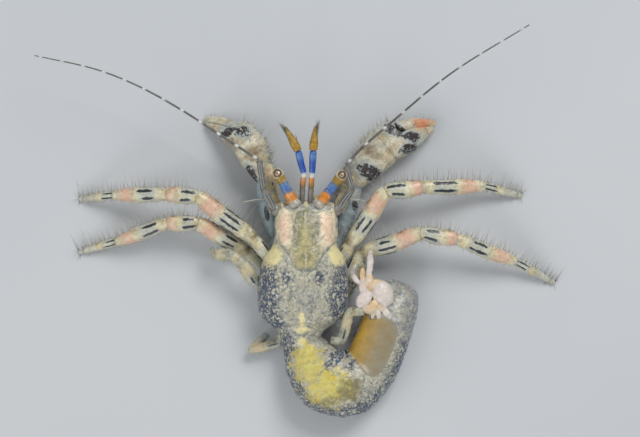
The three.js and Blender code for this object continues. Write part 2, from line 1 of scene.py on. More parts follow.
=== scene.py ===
"""A shell-less right-handed hermit crab at life size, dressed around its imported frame.

Lengths are millimetres in the animal's own frame until a draft becomes a piece: +Z is up, the
head faces -Y, the animal's left is +X and the floor is z = 0. Angles round a limb start at its
front edge: 0 is the front (or inner) edge, 90 the top and 180 the rear (or outer) edge.
"""

from __future__ import annotations

import logging
import math
import random
from dataclasses import dataclass, field
from enum import Enum
from functools import cached_property

import bpy
import numpy as np
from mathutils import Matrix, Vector
from mathutils.kdtree import KDTree

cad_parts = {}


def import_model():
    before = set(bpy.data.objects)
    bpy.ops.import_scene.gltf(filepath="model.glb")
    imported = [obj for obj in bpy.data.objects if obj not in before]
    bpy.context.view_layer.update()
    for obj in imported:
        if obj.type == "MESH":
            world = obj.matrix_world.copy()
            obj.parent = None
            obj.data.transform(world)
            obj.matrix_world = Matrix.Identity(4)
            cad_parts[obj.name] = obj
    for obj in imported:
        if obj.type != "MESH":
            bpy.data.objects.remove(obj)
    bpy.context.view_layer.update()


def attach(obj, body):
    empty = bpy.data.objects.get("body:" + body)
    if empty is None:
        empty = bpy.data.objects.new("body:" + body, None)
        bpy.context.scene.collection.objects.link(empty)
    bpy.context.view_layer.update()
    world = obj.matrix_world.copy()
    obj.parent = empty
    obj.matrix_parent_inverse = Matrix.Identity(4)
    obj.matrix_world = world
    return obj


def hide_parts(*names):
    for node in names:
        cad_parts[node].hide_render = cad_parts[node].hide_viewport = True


MM = 0.001
LOG = logging.getLogger("hermit_crab")
BODY = "root"
UP = np.array([0.0, 0.0, 1.0])

Array = np.ndarray
Socket = bpy.types.NodeSocket
Triple = tuple[float, float, float]
Fields = dict[str, Array | float]
BARE = {"dark": -2.0, "pink": -2.0, "olive": -2.0}  # no marks


# ------------------------------------------------------------------ small sums
def smooth(value: Array, low: float, high: float) -> Array:
    """Returns 0 below low, 1 above high and a soft step between."""
    share = np.clip((np.asarray(value, float) - low) / (high - low), 0.0, 1.0)
    return share * share * (3 - 2 * share)


def bell(gap: Array, width: float) -> Array:
    """Returns 1 where the gap is zero, falling off over the width to either side."""
    return np.exp(-((gap / width) ** 2))


def unit(vectors: Array) -> Array:
    """Returns the vectors at length one."""
    vectors = np.asarray(vectors, float)
    return vectors / np.maximum(np.linalg.norm(vectors, axis=-1, keepdims=True), 1e-12)


def colour(*levels: int) -> tuple[float, ...]:
    """Returns a screen colour as the linear one that shaders take."""
    shares = [level / 255 for level in levels]
    return (*(s / 12.92 if s <= 0.04045 else ((s + 0.055) / 1.055) ** 2.4 for s in shares), 1.0)


def evenly(count: int) -> Array:
    """Returns this many shares, from 0 to 1."""
    return np.linspace(0, 1, count)


def circle(sides: int) -> Array:
    """Returns the angles of a ring's points in radians."""
    return np.arange(sides) * math.tau / sides


def ripple(points: Array, size: float, seed: int = 0, octaves: int = 3) -> Array:
    """Gives smooth random relief.

    Args:
        points: places in millimetres, one row each.
        size: width of the largest lumps in millimetres.
        seed: picks another relief.
        octaves: how many ever finer layers are added.

    Returns:
        One value from about -1 to 1 for each place.
    """
    total = np.zeros(len(points))
    for octave in range(octaves):
        place = points / (size / 2**octave) + 31.7 * (octave + 1)
        cell = np.floor(place).astype(np.int64)
        share = smooth(place - cell, 0, 1)
        for corner in np.ndindex(2, 2, 2):
            spot = (cell + corner) * (73856093, 19349663, 83492791)
            code = np.bitwise_xor.reduce(spot, axis=1) + seed * 2654435761 + octave * 97
            for factor in (2246822519, 3266489917):
                code = code & 0xFFFFFFFF
                code = (code ^ (code >> 15)) * factor
            near = np.where(corner, share, 1 - share).prod(axis=1)
            total += near * ((code & 0xFFFFFFFF) / 0x7FFFFFFF - 1) / 2**octave
    return total / (2 - 2 / 2**octaves) * 1.5


class Line:
    """A smooth line through points, or a smooth value through numbers."""

    def __init__(self, points: list) -> None:
        """Pads the line with a further point at either end.

        Args:
            points: the points, or the numbers, that it passes through.
        """
        given = np.array(points, float)
        self.points = given if given.ndim == 2 else given[:, None]
        first = 2 * self.points[0] - self.points[1]
        last = 2 * self.points[-1] - self.points[-2]
        self.padded = np.vstack([first, self.points, last])

    def at(self, share: Array | float) -> Array:
        """Finds points of the line, straight on beyond its ends.

        Args:
            share: their shares of the line.

        Returns:
            The points.
        """
        share = np.atleast_1d(np.asarray(share, float))
        inside = np.clip(share, 0, 1)
        over = (share - inside)[:, None]
        return self.inside(inside) + (over * self.length * self.along(share) if over.any() else 0)

    def inside(self, share: Array) -> Array:
        """Finds points of the line between its ends.

        Args:
            share: their shares of the line, from 0 to 1.

        Returns:
            The points.
        """
        spans = len(self.points) - 1
        index = np.minimum((share * spans).astype(int), spans - 1)
        part = (share * spans - index)[:, None]
        before, start, end, after = (self.padded[index + k] for k in range(4))
        back, here, ahead = (
            np.sum((b - a) ** 2, axis=1, keepdims=True) ** 0.25
            for a, b in ((before, start), (start, end), (end, after))
        )
        here = np.where(here < 1e-4, 1.0, here)
        back = np.where(back < 1e-4, here, back)
        ahead = np.where(ahead < 1e-4, here, ahead)
        leave = (start - before) / back - (end - before) / (back + here) + (end - start) / here
        reach = (end - start) / here - (after - start) / (here + ahead) + (after - end) / ahead
        leave, reach = leave * here, reach * here
        square = -3 * start + 3 * end - 2 * leave - reach
        cube = 2 * start - 2 * end + leave + reach
        return start + leave * part + square * part**2 + cube * part**3

    @cached_property
    def length(self) -> float:
        """Returns the line's length."""
        steps = np.diff(self.inside(evenly(400)), axis=0)
        return float(np.linalg.norm(steps, axis=1).sum())

    def run(self, places: Array) -> Array:
        """Returns how far along each place lies, from 0 at the first one to 1 at the last."""
        steps = np.linalg.norm(np.diff(self.at(places), axis=0), axis=1)
        return np.append(0.0, np.cumsum(steps)) / steps.sum()

    def along(self, share: Array) -> Array:
        """Returns the direction of travel at these shares."""
        low, high = (self.inside(np.clip(share + step, 0, 1)) for step in (-1e-4, 1e-4))
        return unit(high - low)

    def frame(self, share: Array) -> tuple[Array, ...]:
        """Returns points of the line and its directions there.

        Args:
            share: their shares of the line.

        Returns:
            The points, and the directions along it, to its side and to its top.
        """
        along = self.along(share)
        side = unit(np.cross(along, UP))
        return self.at(share), along, side, np.cross(side, along)

    def spot(self, share: float) -> tuple[Array, ...]:
        """Returns the same four at one share."""
        return tuple(rows[0] for rows in self.frame(np.array([share])))


def straight(start: Array, way: Array) -> Line:
    """Returns the straight line that covers this way from its start."""
    return Line([start + way * share for share in (0.0, 0.5, 1.0)])


def blend(values: tuple[float, ...], share: Array) -> Array:
    """Returns the smooth value through evenly spaced stations at these shares."""
    return Line(list(values)).at(np.clip(share, 0, 1))[:, 0]


def direction(heading: float, rise: float) -> Array:
    """Turns a heading into a way.

    Args:
        heading: degrees from straight ahead, positive to the animal's right.
        rise: degrees above the level.

    Returns:
        The way, of length 1.
    """
    turn, lift = math.radians(heading), math.radians(rise)
    flat = math.cos(lift)
    return np.array([-math.sin(turn) * flat, -math.cos(turn) * flat, math.sin(lift)])


@dataclass(frozen=True)
class Blob:
    """A rounded patch of a marking: middle and radii along two coordinates, turn and squareness."""

    x: float
    y: float
    wide: float
    high: float
    turn: float = 0.0
    power: float = 2.0

    def field(self, first: Array, second: Array) -> Array:
        """Works out how far inside the blob places are.

        Args:
            first: places along the first coordinate.
            second: places along the second one.

        Returns:
            1 at the middle, 0 on the outline and less outside.
        """
        cos, sin = math.cos(math.radians(self.turn)), math.sin(math.radians(self.turn))
        dx, dy = first - self.x, second - self.y
        across = np.abs(dx * cos + dy * sin) / self.wide
        along = np.abs(-dx * sin + dy * cos) / self.high
        return 1 - (across**self.power + along**self.power) ** (1 / self.power)


def strongest(blobs: tuple[Blob, ...], first: Array, second: Array) -> Array:
    """Returns the greatest field of several blobs, far below zero where there is none."""
    return np.max([blob.field(first, second) for blob in blobs] or [first * 0 - 2.0], axis=0)


# ------------------------------------------------------------------ meshes
SKIN_VOXEL = 0.1  # how fine the one skin is
FUSED_VOXEL = 0.05  # how fine the small fused forms are
NEIGHBOURS = 5  # old points from which a fused one takes its markings


def grow_together(points: Array, faces: list, voxel: float, rounds: int
                  ) -> tuple[Array, Array, Array]:
    """Merges overlapping closed forms into one smooth form.

    Args:
        points: their points in millimetres.
        faces: their faces.
        voxel: how fine the merged form is.
        rounds: how often it is relaxed.

    Returns:
        Its points, its ways out and its four-sided faces.
    """
    mesh = bpy.data.meshes.new("form")
    mesh.from_pydata(points.tolist(), [], faces)
    form = bpy.data.objects.new("form", mesh)
    bpy.context.scene.collection.objects.link(form)
    remesh = form.modifiers.new("grow_together", "REMESH")
    remesh.mode = "VOXEL"
    remesh.voxel_size = voxel
    relax = form.modifiers.new("relax", "SMOOTH")
    relax.factor = 0.5
    relax.iterations = rounds
    graph = bpy.context.evaluated_depsgraph_get()
    grown = bpy.data.meshes.new_from_object(form.evaluated_get(graph))
    places, ways = (np.empty(len(grown.vertices) * 3) for _ in range(2))
    grown.vertices.foreach_get("co", places)
    grown.vertex_normals.foreach_get("vector", ways)
    corners = np.empty(len(grown.loops), np.int32)
    grown.loops.foreach_get("vertex_index", corners)
    bpy.data.objects.remove(form)
    bpy.data.meshes.remove(mesh)
    bpy.data.meshes.remove(grown)
    return places.reshape(-1, 3), ways.reshape(-1, 3), corners.reshape(-1, 4)


def ring_points(line: Line, places: Array, width: Array, height: Array, front: int
                ) -> tuple[Array, Array]:
    """Lays out the rings of a bar.

    Args:
        line: the bar's middle.
        places: shares of the line where its rings lie.
        width: half width by ring and point.
        height: half height by ring and point, or by ring.
        front: 1 if the line's side direction is the front edge, -1 if it is the rear one.

    Returns:
        Their middles, and the ways from them to the rings' points.
    """
    centre, _, side, top = (rows[:, None] for rows in line.frame(places))
    angle = circle(width.shape[1])
    wide = (front * np.cos(angle) * width)[..., None] * side
    return centre, wide + (np.sin(angle) * np.reshape(height, (len(places), -1)))[..., None] * top


@dataclass
class Draft:
    """The points, faces and marking fields of one piece, gathered in millimetres."""

    points: list[Array] = field(default_factory=list)
    faces: list[list[int]] = field(default_factory=list)
    fields: list[Fields] = field(default_factory=list)
    unwrap: Array | None = None

    def add(self, points: Array, faces: list, fields: Fields | None = None) -> None:
        """Adds a patch.

        Args:
            points: its points, one row each.
            faces: its faces, by its own point numbers.
            fields: its marking fields.
        """
        base = sum(len(block) for block in self.points)
        for group in faces:
            self.faces.extend((group + base).tolist())
        self.points.append(points)
        self.fields.append(fields or {})

    def bar(self, line: Line, places: Array, width: Array, height: Array,
            sides: int = 24, front: int = 1, relief: Array | float = 0.0,
            fields: Fields | None = None) -> None:
        """Adds a closed bar along a line.

        Args:
            line: the bar's middle.
            places: shares of the line where its rings lie.
            width: half width of each ring, or of each point of each ring.
            height: half height of each ring, or of each point of each ring.
            sides: points in a ring.
            front: 1 if the line's side direction is the front edge, -1 if it is the rear one.
            relief: how far each point stands out beyond that, by ring and point.
            fields: marking fields by ring and point, or by ring.
        """
        centre, out = ring_points(line, places, np.broadcast_to(np.reshape(
            width, (len(places), -1)), (len(places), sides)), height, front)
        rings = len(places)
        out = out + unit(out) * (relief + np.zeros((rings, sides)))[..., None]
        body = (centre + out).reshape(-1, 3)
        rows = {}
        for key, value in (fields or {}).items():
            grid = np.reshape(value, (rings, -1)) if np.ndim(value) else value
            grid = np.broadcast_to(grid, (rings, sides))
            rows[key] = np.concatenate([grid.ravel(), [grid[0].mean(), grid[-1].mean()]])
        self.add(np.vstack([body, centre[0], centre[-1]]),
                 tube_faces(rings, sides, front > 0), rows)

    def fused(self, rounds: int, lumps: float) -> Draft:
        """Grows the forms together.

        Args:
            rounds: how often the merged form is relaxed.
            lumps: height of the relief that it gains.

        Returns:
            The new draft, each point marked as the old ones near it.
        """
        old = np.vstack(self.points)
        points, ways, faces = grow_together(old, self.faces, FUSED_VOXEL, rounds)
        tree = KDTree(len(old))
        for index, point in enumerate(old):
            tree.insert(point, index)
        tree.balance()
        near = np.array([[found[1] for found in tree.find_n(point, NEIGHBOURS)]
                         for point in points])
        made = Draft()
        made.add(points + ways * lumps * ripple(points, 0.5, 9)[:, None], [faces],
                 {key: value[near].mean(axis=1) for key, value in self.gathered().items()})
        return made

    def gathered(self) -> Fields:
        """Gathers the marking fields.

        Returns:
            Each field over all points.
        """
        return {
            key: np.concatenate([
                np.broadcast_to(fields.get(key, 0.0), (len(block),))
                for fields, block in zip(self.fields, self.points)
            ])
            for key in sorted({key for fields in self.fields for key in fields})
        }

    def piece(self, name: str, look: Look, slot: str, nodes: tuple[str, ...] = ()) -> None:
        """Turns the draft into an object in metres that rides on the frame.

        Args:
            name: the piece's name.
            look: its finish.
            slot: the record's material slot; not used.
            nodes: the frame nodes that it stands for.
        """
        mesh = bpy.data.meshes.new(name)
        points = np.vstack(self.points)
        points[:, 2] = np.maximum(points[:, 2], 0.0)
        mesh.from_pydata((points * MM).tolist(), [], self.faces)
        mesh.polygons.foreach_set("use_smooth", [True] * len(mesh.polygons))
        for key, value in self.gathered().items():
            attribute = mesh.attributes.new(key, "FLOAT", "POINT")
            attribute.data.foreach_set("value", value.astype(np.float32))
        if self.unwrap is not None:
            corners = np.zeros(len(mesh.loops), np.int32)
            mesh.loops.foreach_get("vertex_index", corners)
            layer = mesh.uv_layers.new(name="OFBake")
            layer.data.foreach_set("uv", self.unwrap[corners].ravel())
        mesh.materials.append(look.material)
        mesh.validate()
        made = bpy.data.objects.new(name, mesh)
        bpy.context.scene.collection.objects.link(made)
        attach(made, BODY)
        if nodes:
            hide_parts(*nodes)
        LOG.info("%s: %d faces", name, len(mesh.polygons))


def tube_faces(rings: int, sides: int, flipped: bool) -> list[Array]:
    """Lays the faces of a closed tube whose two end points come after its rings.

    Args:
        rings: how many rings it has.
        sides: points in a ring.
        flipped: turns the faces over.

    Returns:
        Blocks of faces, each with one number of corners.
    """
    ring = np.arange(rings - 1)[:, None] * sides
    this = np.arange(sides)
    after = (this + 1) % sides
    walls = np.stack([ring + this, ring + after, ring + sides + after, ring + sides + this], -1)
    last, ends = (rings - 1) * sides, np.full(sides, rings * sides)
    start = np.stack([ends, after, this], -1)
    finish = np.stack([ends + 1, last + this, last + after], -1)
    groups = [walls.reshape(-1, 4), start, finish]
    return [group[:, ::-1] for group in groups] if flipped else groups


def cone(draft: Draft, root: Array, way: Array, length: float, half: float,
         fields: Fields | None = None, curl: float = 0.12) -> None:
    """Adds a curved spine.

    Args:
        draft: takes the spine.
        root: its base, inside the plate it stands on.
        way: its direction.
        length: its length.
        half: its half width at the base.
        fields: marking fields of the whole spine, over no marks.
        curl: how far its tip leans up, as a share of its length.
    """
    reach = unit(way) * length
    halves = half * np.array([1.0, 0.86, 0.66, 0.42, 0.24, 0.1])
    draft.bar(Line([root, root + reach * 0.5, root + reach + UP * curl * length]),
              np.array([0.0, 0.25, 0.5, 0.75, 0.9, 0.98]), halves, halves, 8,
              fields={**BARE, **(fields or {})})


def pod(draft: Draft, points: list[Triple], halves: tuple[float, ...], thick: float = 0.7,
        fields: Fields | None = None, blunt: float = 4.0, sides: int = 20, rings: int = 22) -> Line:
    """Adds a rounded bar, such as a lobe or a small plate.

    Args:
        draft: takes it.
        points: the places that its middle passes through.
        halves: its half widths along it.
        thick: its thickness as a share of its width.
        fields: marking fields of the whole bar.
        blunt: how square its ends are.
        sides: points in a ring.
        rings: rings along it.

    Returns:
        Its middle line.
    """
    line = Line([list(point) for point in points])
    share = (1 - np.cos(np.linspace(0, math.pi, rings))) / 2
    body = np.sqrt(np.maximum(1 - np.abs(2 * share - 1) ** blunt, 0.0064))
    half = blend(halves, share) * body
    # Painted shade: the lower half of every ring is marked as shaded.
    shade = 0.5 * (np.arange(sides) > sides / 2)[None] + np.zeros((rings, 1))
    draft.bar(line, share, half, half * thick, sides,
              fields={**BARE, "frost": 0.3, "shade": shade, **(fields or {})})
    return line


def whip(draft: Draft, line: Line, foot: float, tip: float, rings: int, fields: Fields) -> None:
    """Adds a thin ringed lash along a line.

    Args:
        draft: takes the lash.
        line: its middle.
        foot: its half width at the start.
        tip: its half width at the end.
        rings: how many rings it shows.
        fields: marking fields of the whole lash.
    """
    share = evenly(4 * rings)
    half = (foot + (tip - foot) * share) * (1 + 0.12 * np.sin(share * rings * math.tau))
    draft.bar(line, share, half, half, 12, fields=fields)


# ------------------------------------------------------------------ setae
class Setae:
    """Hairs gathered for one coat: roots, directions, sizes and places on the unwrapped limb."""

    RINGS = 6
    SIDES = 3
    PATCH = 0.003  # width of a tuft on the unwrapped limb
    SINK = 0.03  # how deep a root sits
    JITTER = 0.025  # how far roots of a tuft stray

    def __init__(self, seed: int) -> None:
        """Starts empty and seeds the hairs' own random draws."""
        self.chance = random.Random(seed)
        self.hairs: list[tuple] = []

    def scatter(self, spread: float) -> Array:
        """Returns a small random step in every direction."""
        return np.array([self.chance.gauss(0, spread) for _ in range(3)])

    def tuft(self, root: Array, way: Array, lean: Array, hairs: int, length: float, half: float,
             spread: float, spot: tuple[float, float]) -> None:
        """Adds one tuft.

        Args:
            root: where it grows.
            way: the skin's own direction outwards.
            lean: which way its hairs bend.
            hairs: how many hairs it has.
            length: their usual length.
            half: their half width at the root.
            spread: how far they fan apart.
            spot: the root's place on the unwrapped skin.
        """
        for _ in range(hairs):
            self.hairs.append((
                root - way * self.SINK + self.scatter(self.JITTER),
                unit(way + self.scatter(spread)),
                lean * self.chance.uniform(0.3, 1.0) + self.scatter(0.12),
                length * self.chance.uniform(0.55, 1.15), half * self.chance.uniform(0.8, 1.15),
                spot))

    def along(self, line: Line, places: Array, angles: tuple[float, ...], side: Side,
              half: float, length: float, hairs: int = 2, first: float = 1.0, sweep: float = 0.3,
              spread: float = 0.25, thick: float = 0.013, fan: float = 0.0) -> None:
        """Adds rows of tufts along a line.

        Args:
            line: the middle of what they grow on.
            places: shares of the line.
            angles: the rows' angles round it in degrees, 0 at its inner or front edge.
            side: the side of the animal that it is on.
            half: how far from the line they grow.
            length: their usual length at the last place.
            hairs: how many hairs each tuft has.
            first: their length at the first place as a share of that at the last.
            sweep: how far they lean towards the line's end.
            spread: how far they fan apart.
            thick: their half width at the root.
            fan: how far they bend outwards.
        """
        for place, size in zip(places, np.linspace(first, 1, len(places))):
            point, ahead, across, top = line.spot(place)
            for angle in angles:
                turn = math.radians(angle + self.chance.uniform(-9, 9))
                out = math.cos(turn) * side.value * across + math.sin(turn) * top
                self.tuft(point + out * half, unit(out + ahead * sweep), ahead * 0.3 + out * fan,
                          hairs, length * size, thick, spread, (place, angle % 360 / 360))

    def piece(self, name: str, look: Look, slot: str) -> None:
        """Builds all hairs as one joined mesh.

        Args:
            name: the coat's name.
            look: its finish.
            slot: the record's material slot; not used.
        """
        roots, ways, bends, length, half, spots = (np.array(part) for part in zip(*self.hairs))
        share, angle = evenly(self.RINGS), circle(self.SIDES)
        reach = (length[:, None] * share)[..., None]
        sway = ways[:, None] + bends[:, None] * 0.35 * share[:, None]
        centre = roots[:, None] + sway * reach
        across = unit(np.cross(ways, ways[:, [1, 2, 0]] + 0.31))
        ring = np.cos(angle)[:, None] * across[:, None, None]
        ring = ring + np.sin(angle)[:, None] * np.cross(ways, across)[:, None, None]
        thick = half[:, None] * (1 - 0.86 * share**1.3)
        walls = (centre[:, :, None] + ring * thick[..., None, None]).reshape(len(roots), -1, 3)
        tips = centre[:, -1:] + ways[:, None] * 0.04
        block = np.concatenate([walls, roots[:, None], tips], axis=1)
        base = (np.arange(len(roots)) * block.shape[1])[:, None, None]
        groups = tube_faces(self.RINGS, self.SIDES, False)
        along = np.concatenate([np.repeat(share, self.SIDES), [0.0, 1.0]])
        turn = np.concatenate([np.tile(angle / math.tau, self.RINGS), [0.5, 0.5]])
        draft = Draft()
        draft.add(block.reshape(-1, 3),
                  [(group + base).reshape(-1, group.shape[1]) for group in groups],
                  {"tip": np.tile(along, len(roots))})
        patch = (np.stack([along, turn], -1) - 0.5) * self.PATCH
        inner = spots * (1 - 2 * self.PATCH) + self.PATCH
        draft.unwrap = (inner[:, None] + patch).reshape(-1, 2)
        draft.piece(name, look, slot)


# ------------------------------------------------------------------ shading
@dataclass
class Tree:
    """Adds and joins nodes in one node tree. A socket or a plain value may feed any input."""

    tree: bpy.types.NodeTree

    def node(self, kind: str, inputs: dict | None = None, **settings: object) -> bpy.types.Node:
        """Adds one node.

        Args:
            kind: its type name, without its usual start.
            inputs: the socket or plain value that feeds each named or numbered input.
            **settings: its own settings.

        Returns:
            The new node.
        """
        made = self.tree.nodes.new(kind if kind.startswith("Node") else "ShaderNode" + kind)
        for key, value in settings.items():
            setattr(made, key, value)
        for key, value in (inputs or {}).items():
            if isinstance(value, Socket):
                self.tree.links.new(value, made.inputs[key])
            else:
                made.inputs[key].default_value = value
        return made

    def sum(self, operation: str, first: object, second: object = 0.0,
            clamp: bool = False) -> Socket:
        """Returns one sum of two values."""
        return self.node("Math", {0: first, 1: second}, operation=operation,
                         use_clamp=clamp).outputs[0]

    def vector(self, operation: str, first: object, second: object) -> Socket:
        """Returns one sum of two vectors, or of a vector and its scale."""
        other = "Scale" if operation == "SCALE" else 1
        return self.node("VectorMath", {0: first, other: second}, operation=operation).outputs[0]

    def mix(self, share: object, first: object, second: object) -> Socket:
        """Returns the colour between two colours."""
        return self.node("Mix", {0: share, 6: first, 7: second}, data_type="RGBA").outputs[2]

    def step(self, value: object, low: object, high: object) -> Socket:
        """Returns a soft step from 0 at low to 1 at high."""
        return self.node("MapRange", {0: value, 1: low, 2: high},
                         interpolation_type="SMOOTHSTEP").outputs[0]

    def around(self, value: object, middle: object, soft: object) -> Socket:
        """Returns a soft step as far to either side of the middle as the softness says."""
        return self.step(value, self.sum("SUBTRACT", middle, soft), self.sum("ADD", middle, soft))

    def noise(self, place: object, per_mm: object, detail: float = 4.0, rough: float = 0.5,
              twist: float = 0.0) -> Socket:
        """Returns soft noise with this many lumps per millimetre."""
        return self.node("TexNoise", {"Vector": place, "Scale": per_mm, "Detail": detail,
                                      "Roughness": rough, "Distortion": twist}).outputs[0]

    def marking(self, name: str) -> Socket:
        """Returns a marking field of the mesh."""
        return self.node("Attribute", attribute_name=name).outputs["Fac"]

    def shared(self, effect: Effect, **inputs: object) -> bpy.types.bpy_prop_collection:
        """Returns the outputs of a shared effect with its own values."""
        named = {key.replace("_", " "): value for key, value in inputs.items()}
        return self.node("Group", named, node_tree=effect.group).outputs


def marked(tree: Tree, place: object, value: object, waver: object, per_mm: object,
           edge: object, soft: object) -> Socket:
    """Draws a marking field with a wavering edge.

    Args:
        tree: the node tree to draw in.
        place: the place in millimetres.
        value: the field.
        waver: how far its edge strays.
        per_mm: waves of the edge per millimetre.
        edge: the value at which the mask is half.
        soft: how soft the edge is.

    Returns:
        Its mask.
    """
    wave = tree.sum("SUBTRACT", tree.noise(place, per_mm, 4.0, 0.6), 0.5)
    wave = tree.sum("MULTIPLY", tree.sum("MULTIPLY", wave, waver), 2.0)
    return tree.around(tree.sum("ADD", value, wave), edge, soft)


def clouds(tree: Tree, place: object, per_mm: object, size: object, soft: object) -> Socket:
    """Returns the mask of ragged clouds."""
    return tree.around(tree.noise(place, per_mm, 5.0, 0.62), size, soft)


def dots(tree: Tree, place: object, per_mm: object, size: object, soft: object) -> Socket:
    """Draws small uneven dots, some of them missing.

    Args:
        tree: the node tree to draw in.
        place: the place in millimetres.
        per_mm: dots per millimetre.
        size: their usual radius as a share of their spacing.
        soft: how soft their edges are.

    Returns:
        Their mask.
    """
    drift = tree.node("TexNoise", {"Vector": place, "Scale": 2.2, "Detail": 3.0})
    drift = tree.vector("SUBTRACT", drift.outputs["Color"], (0.5, 0.5, 0.5))
    moved = tree.vector("ADD", place, tree.vector("SCALE", drift, 0.55))
    cells = tree.node("TexVoronoi", {"Vector": moved, "Scale": per_mm, "Randomness": 1.0})
    tone = tree.node("SeparateColor", {0: cells.outputs["Color"]}).outputs[0]
    reach = tree.sum("MULTIPLY", size, tree.sum("ADD", tone, 0.5))
    gap = tree.sum("SUBTRACT", reach, cells.outputs["Distance"])
    return tree.sum("MULTIPLY", tree.around(gap, 0.0, soft), tree.step(tone, 0.1, 0.4))


def strands(tree: Tree, place: object, per_mm: object, size: object, _soft: object) -> Socket:
    """Returns the mask of thin winding strands, always soft."""
    noise = tree.noise(place, per_mm, 4.0, 0.62, 1.6)
    return tree.step(tree.sum("ABSOLUTE", tree.sum("SUBTRACT", noise, 0.5)), size, 0.0)


def grain(tree: Tree, place: object, per_mm: object) -> tuple[Socket, ...]:
    """Returns the height of a surface's fine grain, and how dull it makes the surface."""
    lumps = tree.noise(place, per_mm, 4.0, 0.6)
    return lumps, tree.sum("MULTIPLY", tree.step(lumps, 0.35, 0.7), 0.2)


def two_tones(tree: Tree, place: object, per_mm: object) -> Socket:
    """Returns the mask by which one base tone drifts into the other."""
    return tree.step(tree.noise(place, per_mm), 0.36, 0.66)


def strayed(tree: Tree, place: object, value: object, waver: object) -> Socket:
    """Returns the value, straying a little from place to place."""
    stray = tree.sum("SUBTRACT", tree.noise(place, 2.4), 0.5)
    return tree.sum("ADD", value, tree.sum("MULTIPLY", stray, waver))


class Effect(Enum):
    """The shader effects that finishes share: how each is drawn, its inputs and its outputs."""

    MARKING = (marked, ("field", "waver", "per mm", "edge", "soft"), ("mask",))
    CLOUDS = (clouds, ("per mm", "size", "soft"), ("mask",))
    DOTS = (dots, ("per mm", "size", "soft"), ("mask",))
    STRANDS = (strands, ("per mm", "size", "soft"), ("mask",))
    GRAIN = (grain, ("per mm",), ("height", "dull"))
    TWO_TONES = (two_tones, ("per mm",), ("mask",))
    STRAYED = (strayed, ("value", "waver"), ("value",))

    @cached_property
    def group(self) -> bpy.types.NodeTree:
        """Builds the effect's node group when it is first asked for.

        Returns:
            The group, with its named inputs and outputs.
        """
        draw, inputs, outputs = self.value
        group = bpy.data.node_groups.new(self.name.lower(), "ShaderNodeTree")
        group.interface.new_socket("place", in_out="INPUT", socket_type="NodeSocketVector")
        for end, keys in (("INPUT", inputs), ("OUTPUT", outputs)):
            for key in keys:
                group.interface.new_socket(key, in_out=end, socket_type="NodeSocketFloat")
        tree = Tree(group)
        given = tree.node("NodeGroupInput").outputs
        made = draw(tree, *(given[key] for key in ("place", *inputs)))
        tree.node("NodeGroupOutput", dict(enumerate(made if len(outputs) > 1 else (made,))))
        return group


CLOUDS, DOTS, STRANDS = Effect.CLOUDS, Effect.DOTS, Effect.STRANDS
RELIEF = 0.03  # height of the finest grain in millimetres
LAYER_SHIFT = (7.3, 3.1, 1.7)  # moves the noise of each layer away from the others'


@dataclass(frozen=True)
class Layer:
    """One tone laid over those below it, inside a marking field and broken up by a pattern."""

    tone: Triple
    strength: float
    field: str = ""  # empty: everywhere
    edge: float = 0.3
    soft: float = 0.35
    waver: float = 0.5
    per_mm: float = 1.6
    pattern: Effect | None = None
    fine: float = 3.0
    size: float = 0.5
    blur: float = 0.1
    least: float = 0.0  # how much shows between the pattern's marks
    hidden_by: str = ""
    hiding: float = 0.7
    height: float = 0.0

    def mask(self, tree: Tree, place: object) -> object:
        """Draws the layer's mask.

        Args:
            tree: the node tree to draw in.
            place: the place in millimetres.

        Returns:
            How much of the layer shows.
        """
        share = self.strength
        if self.field:
            inside, = tree.shared(Effect.MARKING, place=place, field=tree.marking(self.field),
                                  waver=self.waver, per_mm=self.per_mm, edge=self.edge,
                                  soft=self.soft)
            share = tree.sum("MULTIPLY", inside, share)
        if self.pattern is not None:
            marks, = tree.shared(self.pattern, place=place, per_mm=self.fine, size=self.size,
                                 soft=self.blur)
            marks = tree.sum("ADD", tree.sum("MULTIPLY", marks, 1 - self.least), self.least)
            share = tree.sum("MULTIPLY", marks, share)
        if self.hidden_by:
            hidden = tree.sum("MULTIPLY", tree.marking(self.hidden_by), self.hiding, clamp=True)
            share = tree.sum("MULTIPLY", share, tree.sum("SUBTRACT", 1.0, hidden))
        return share


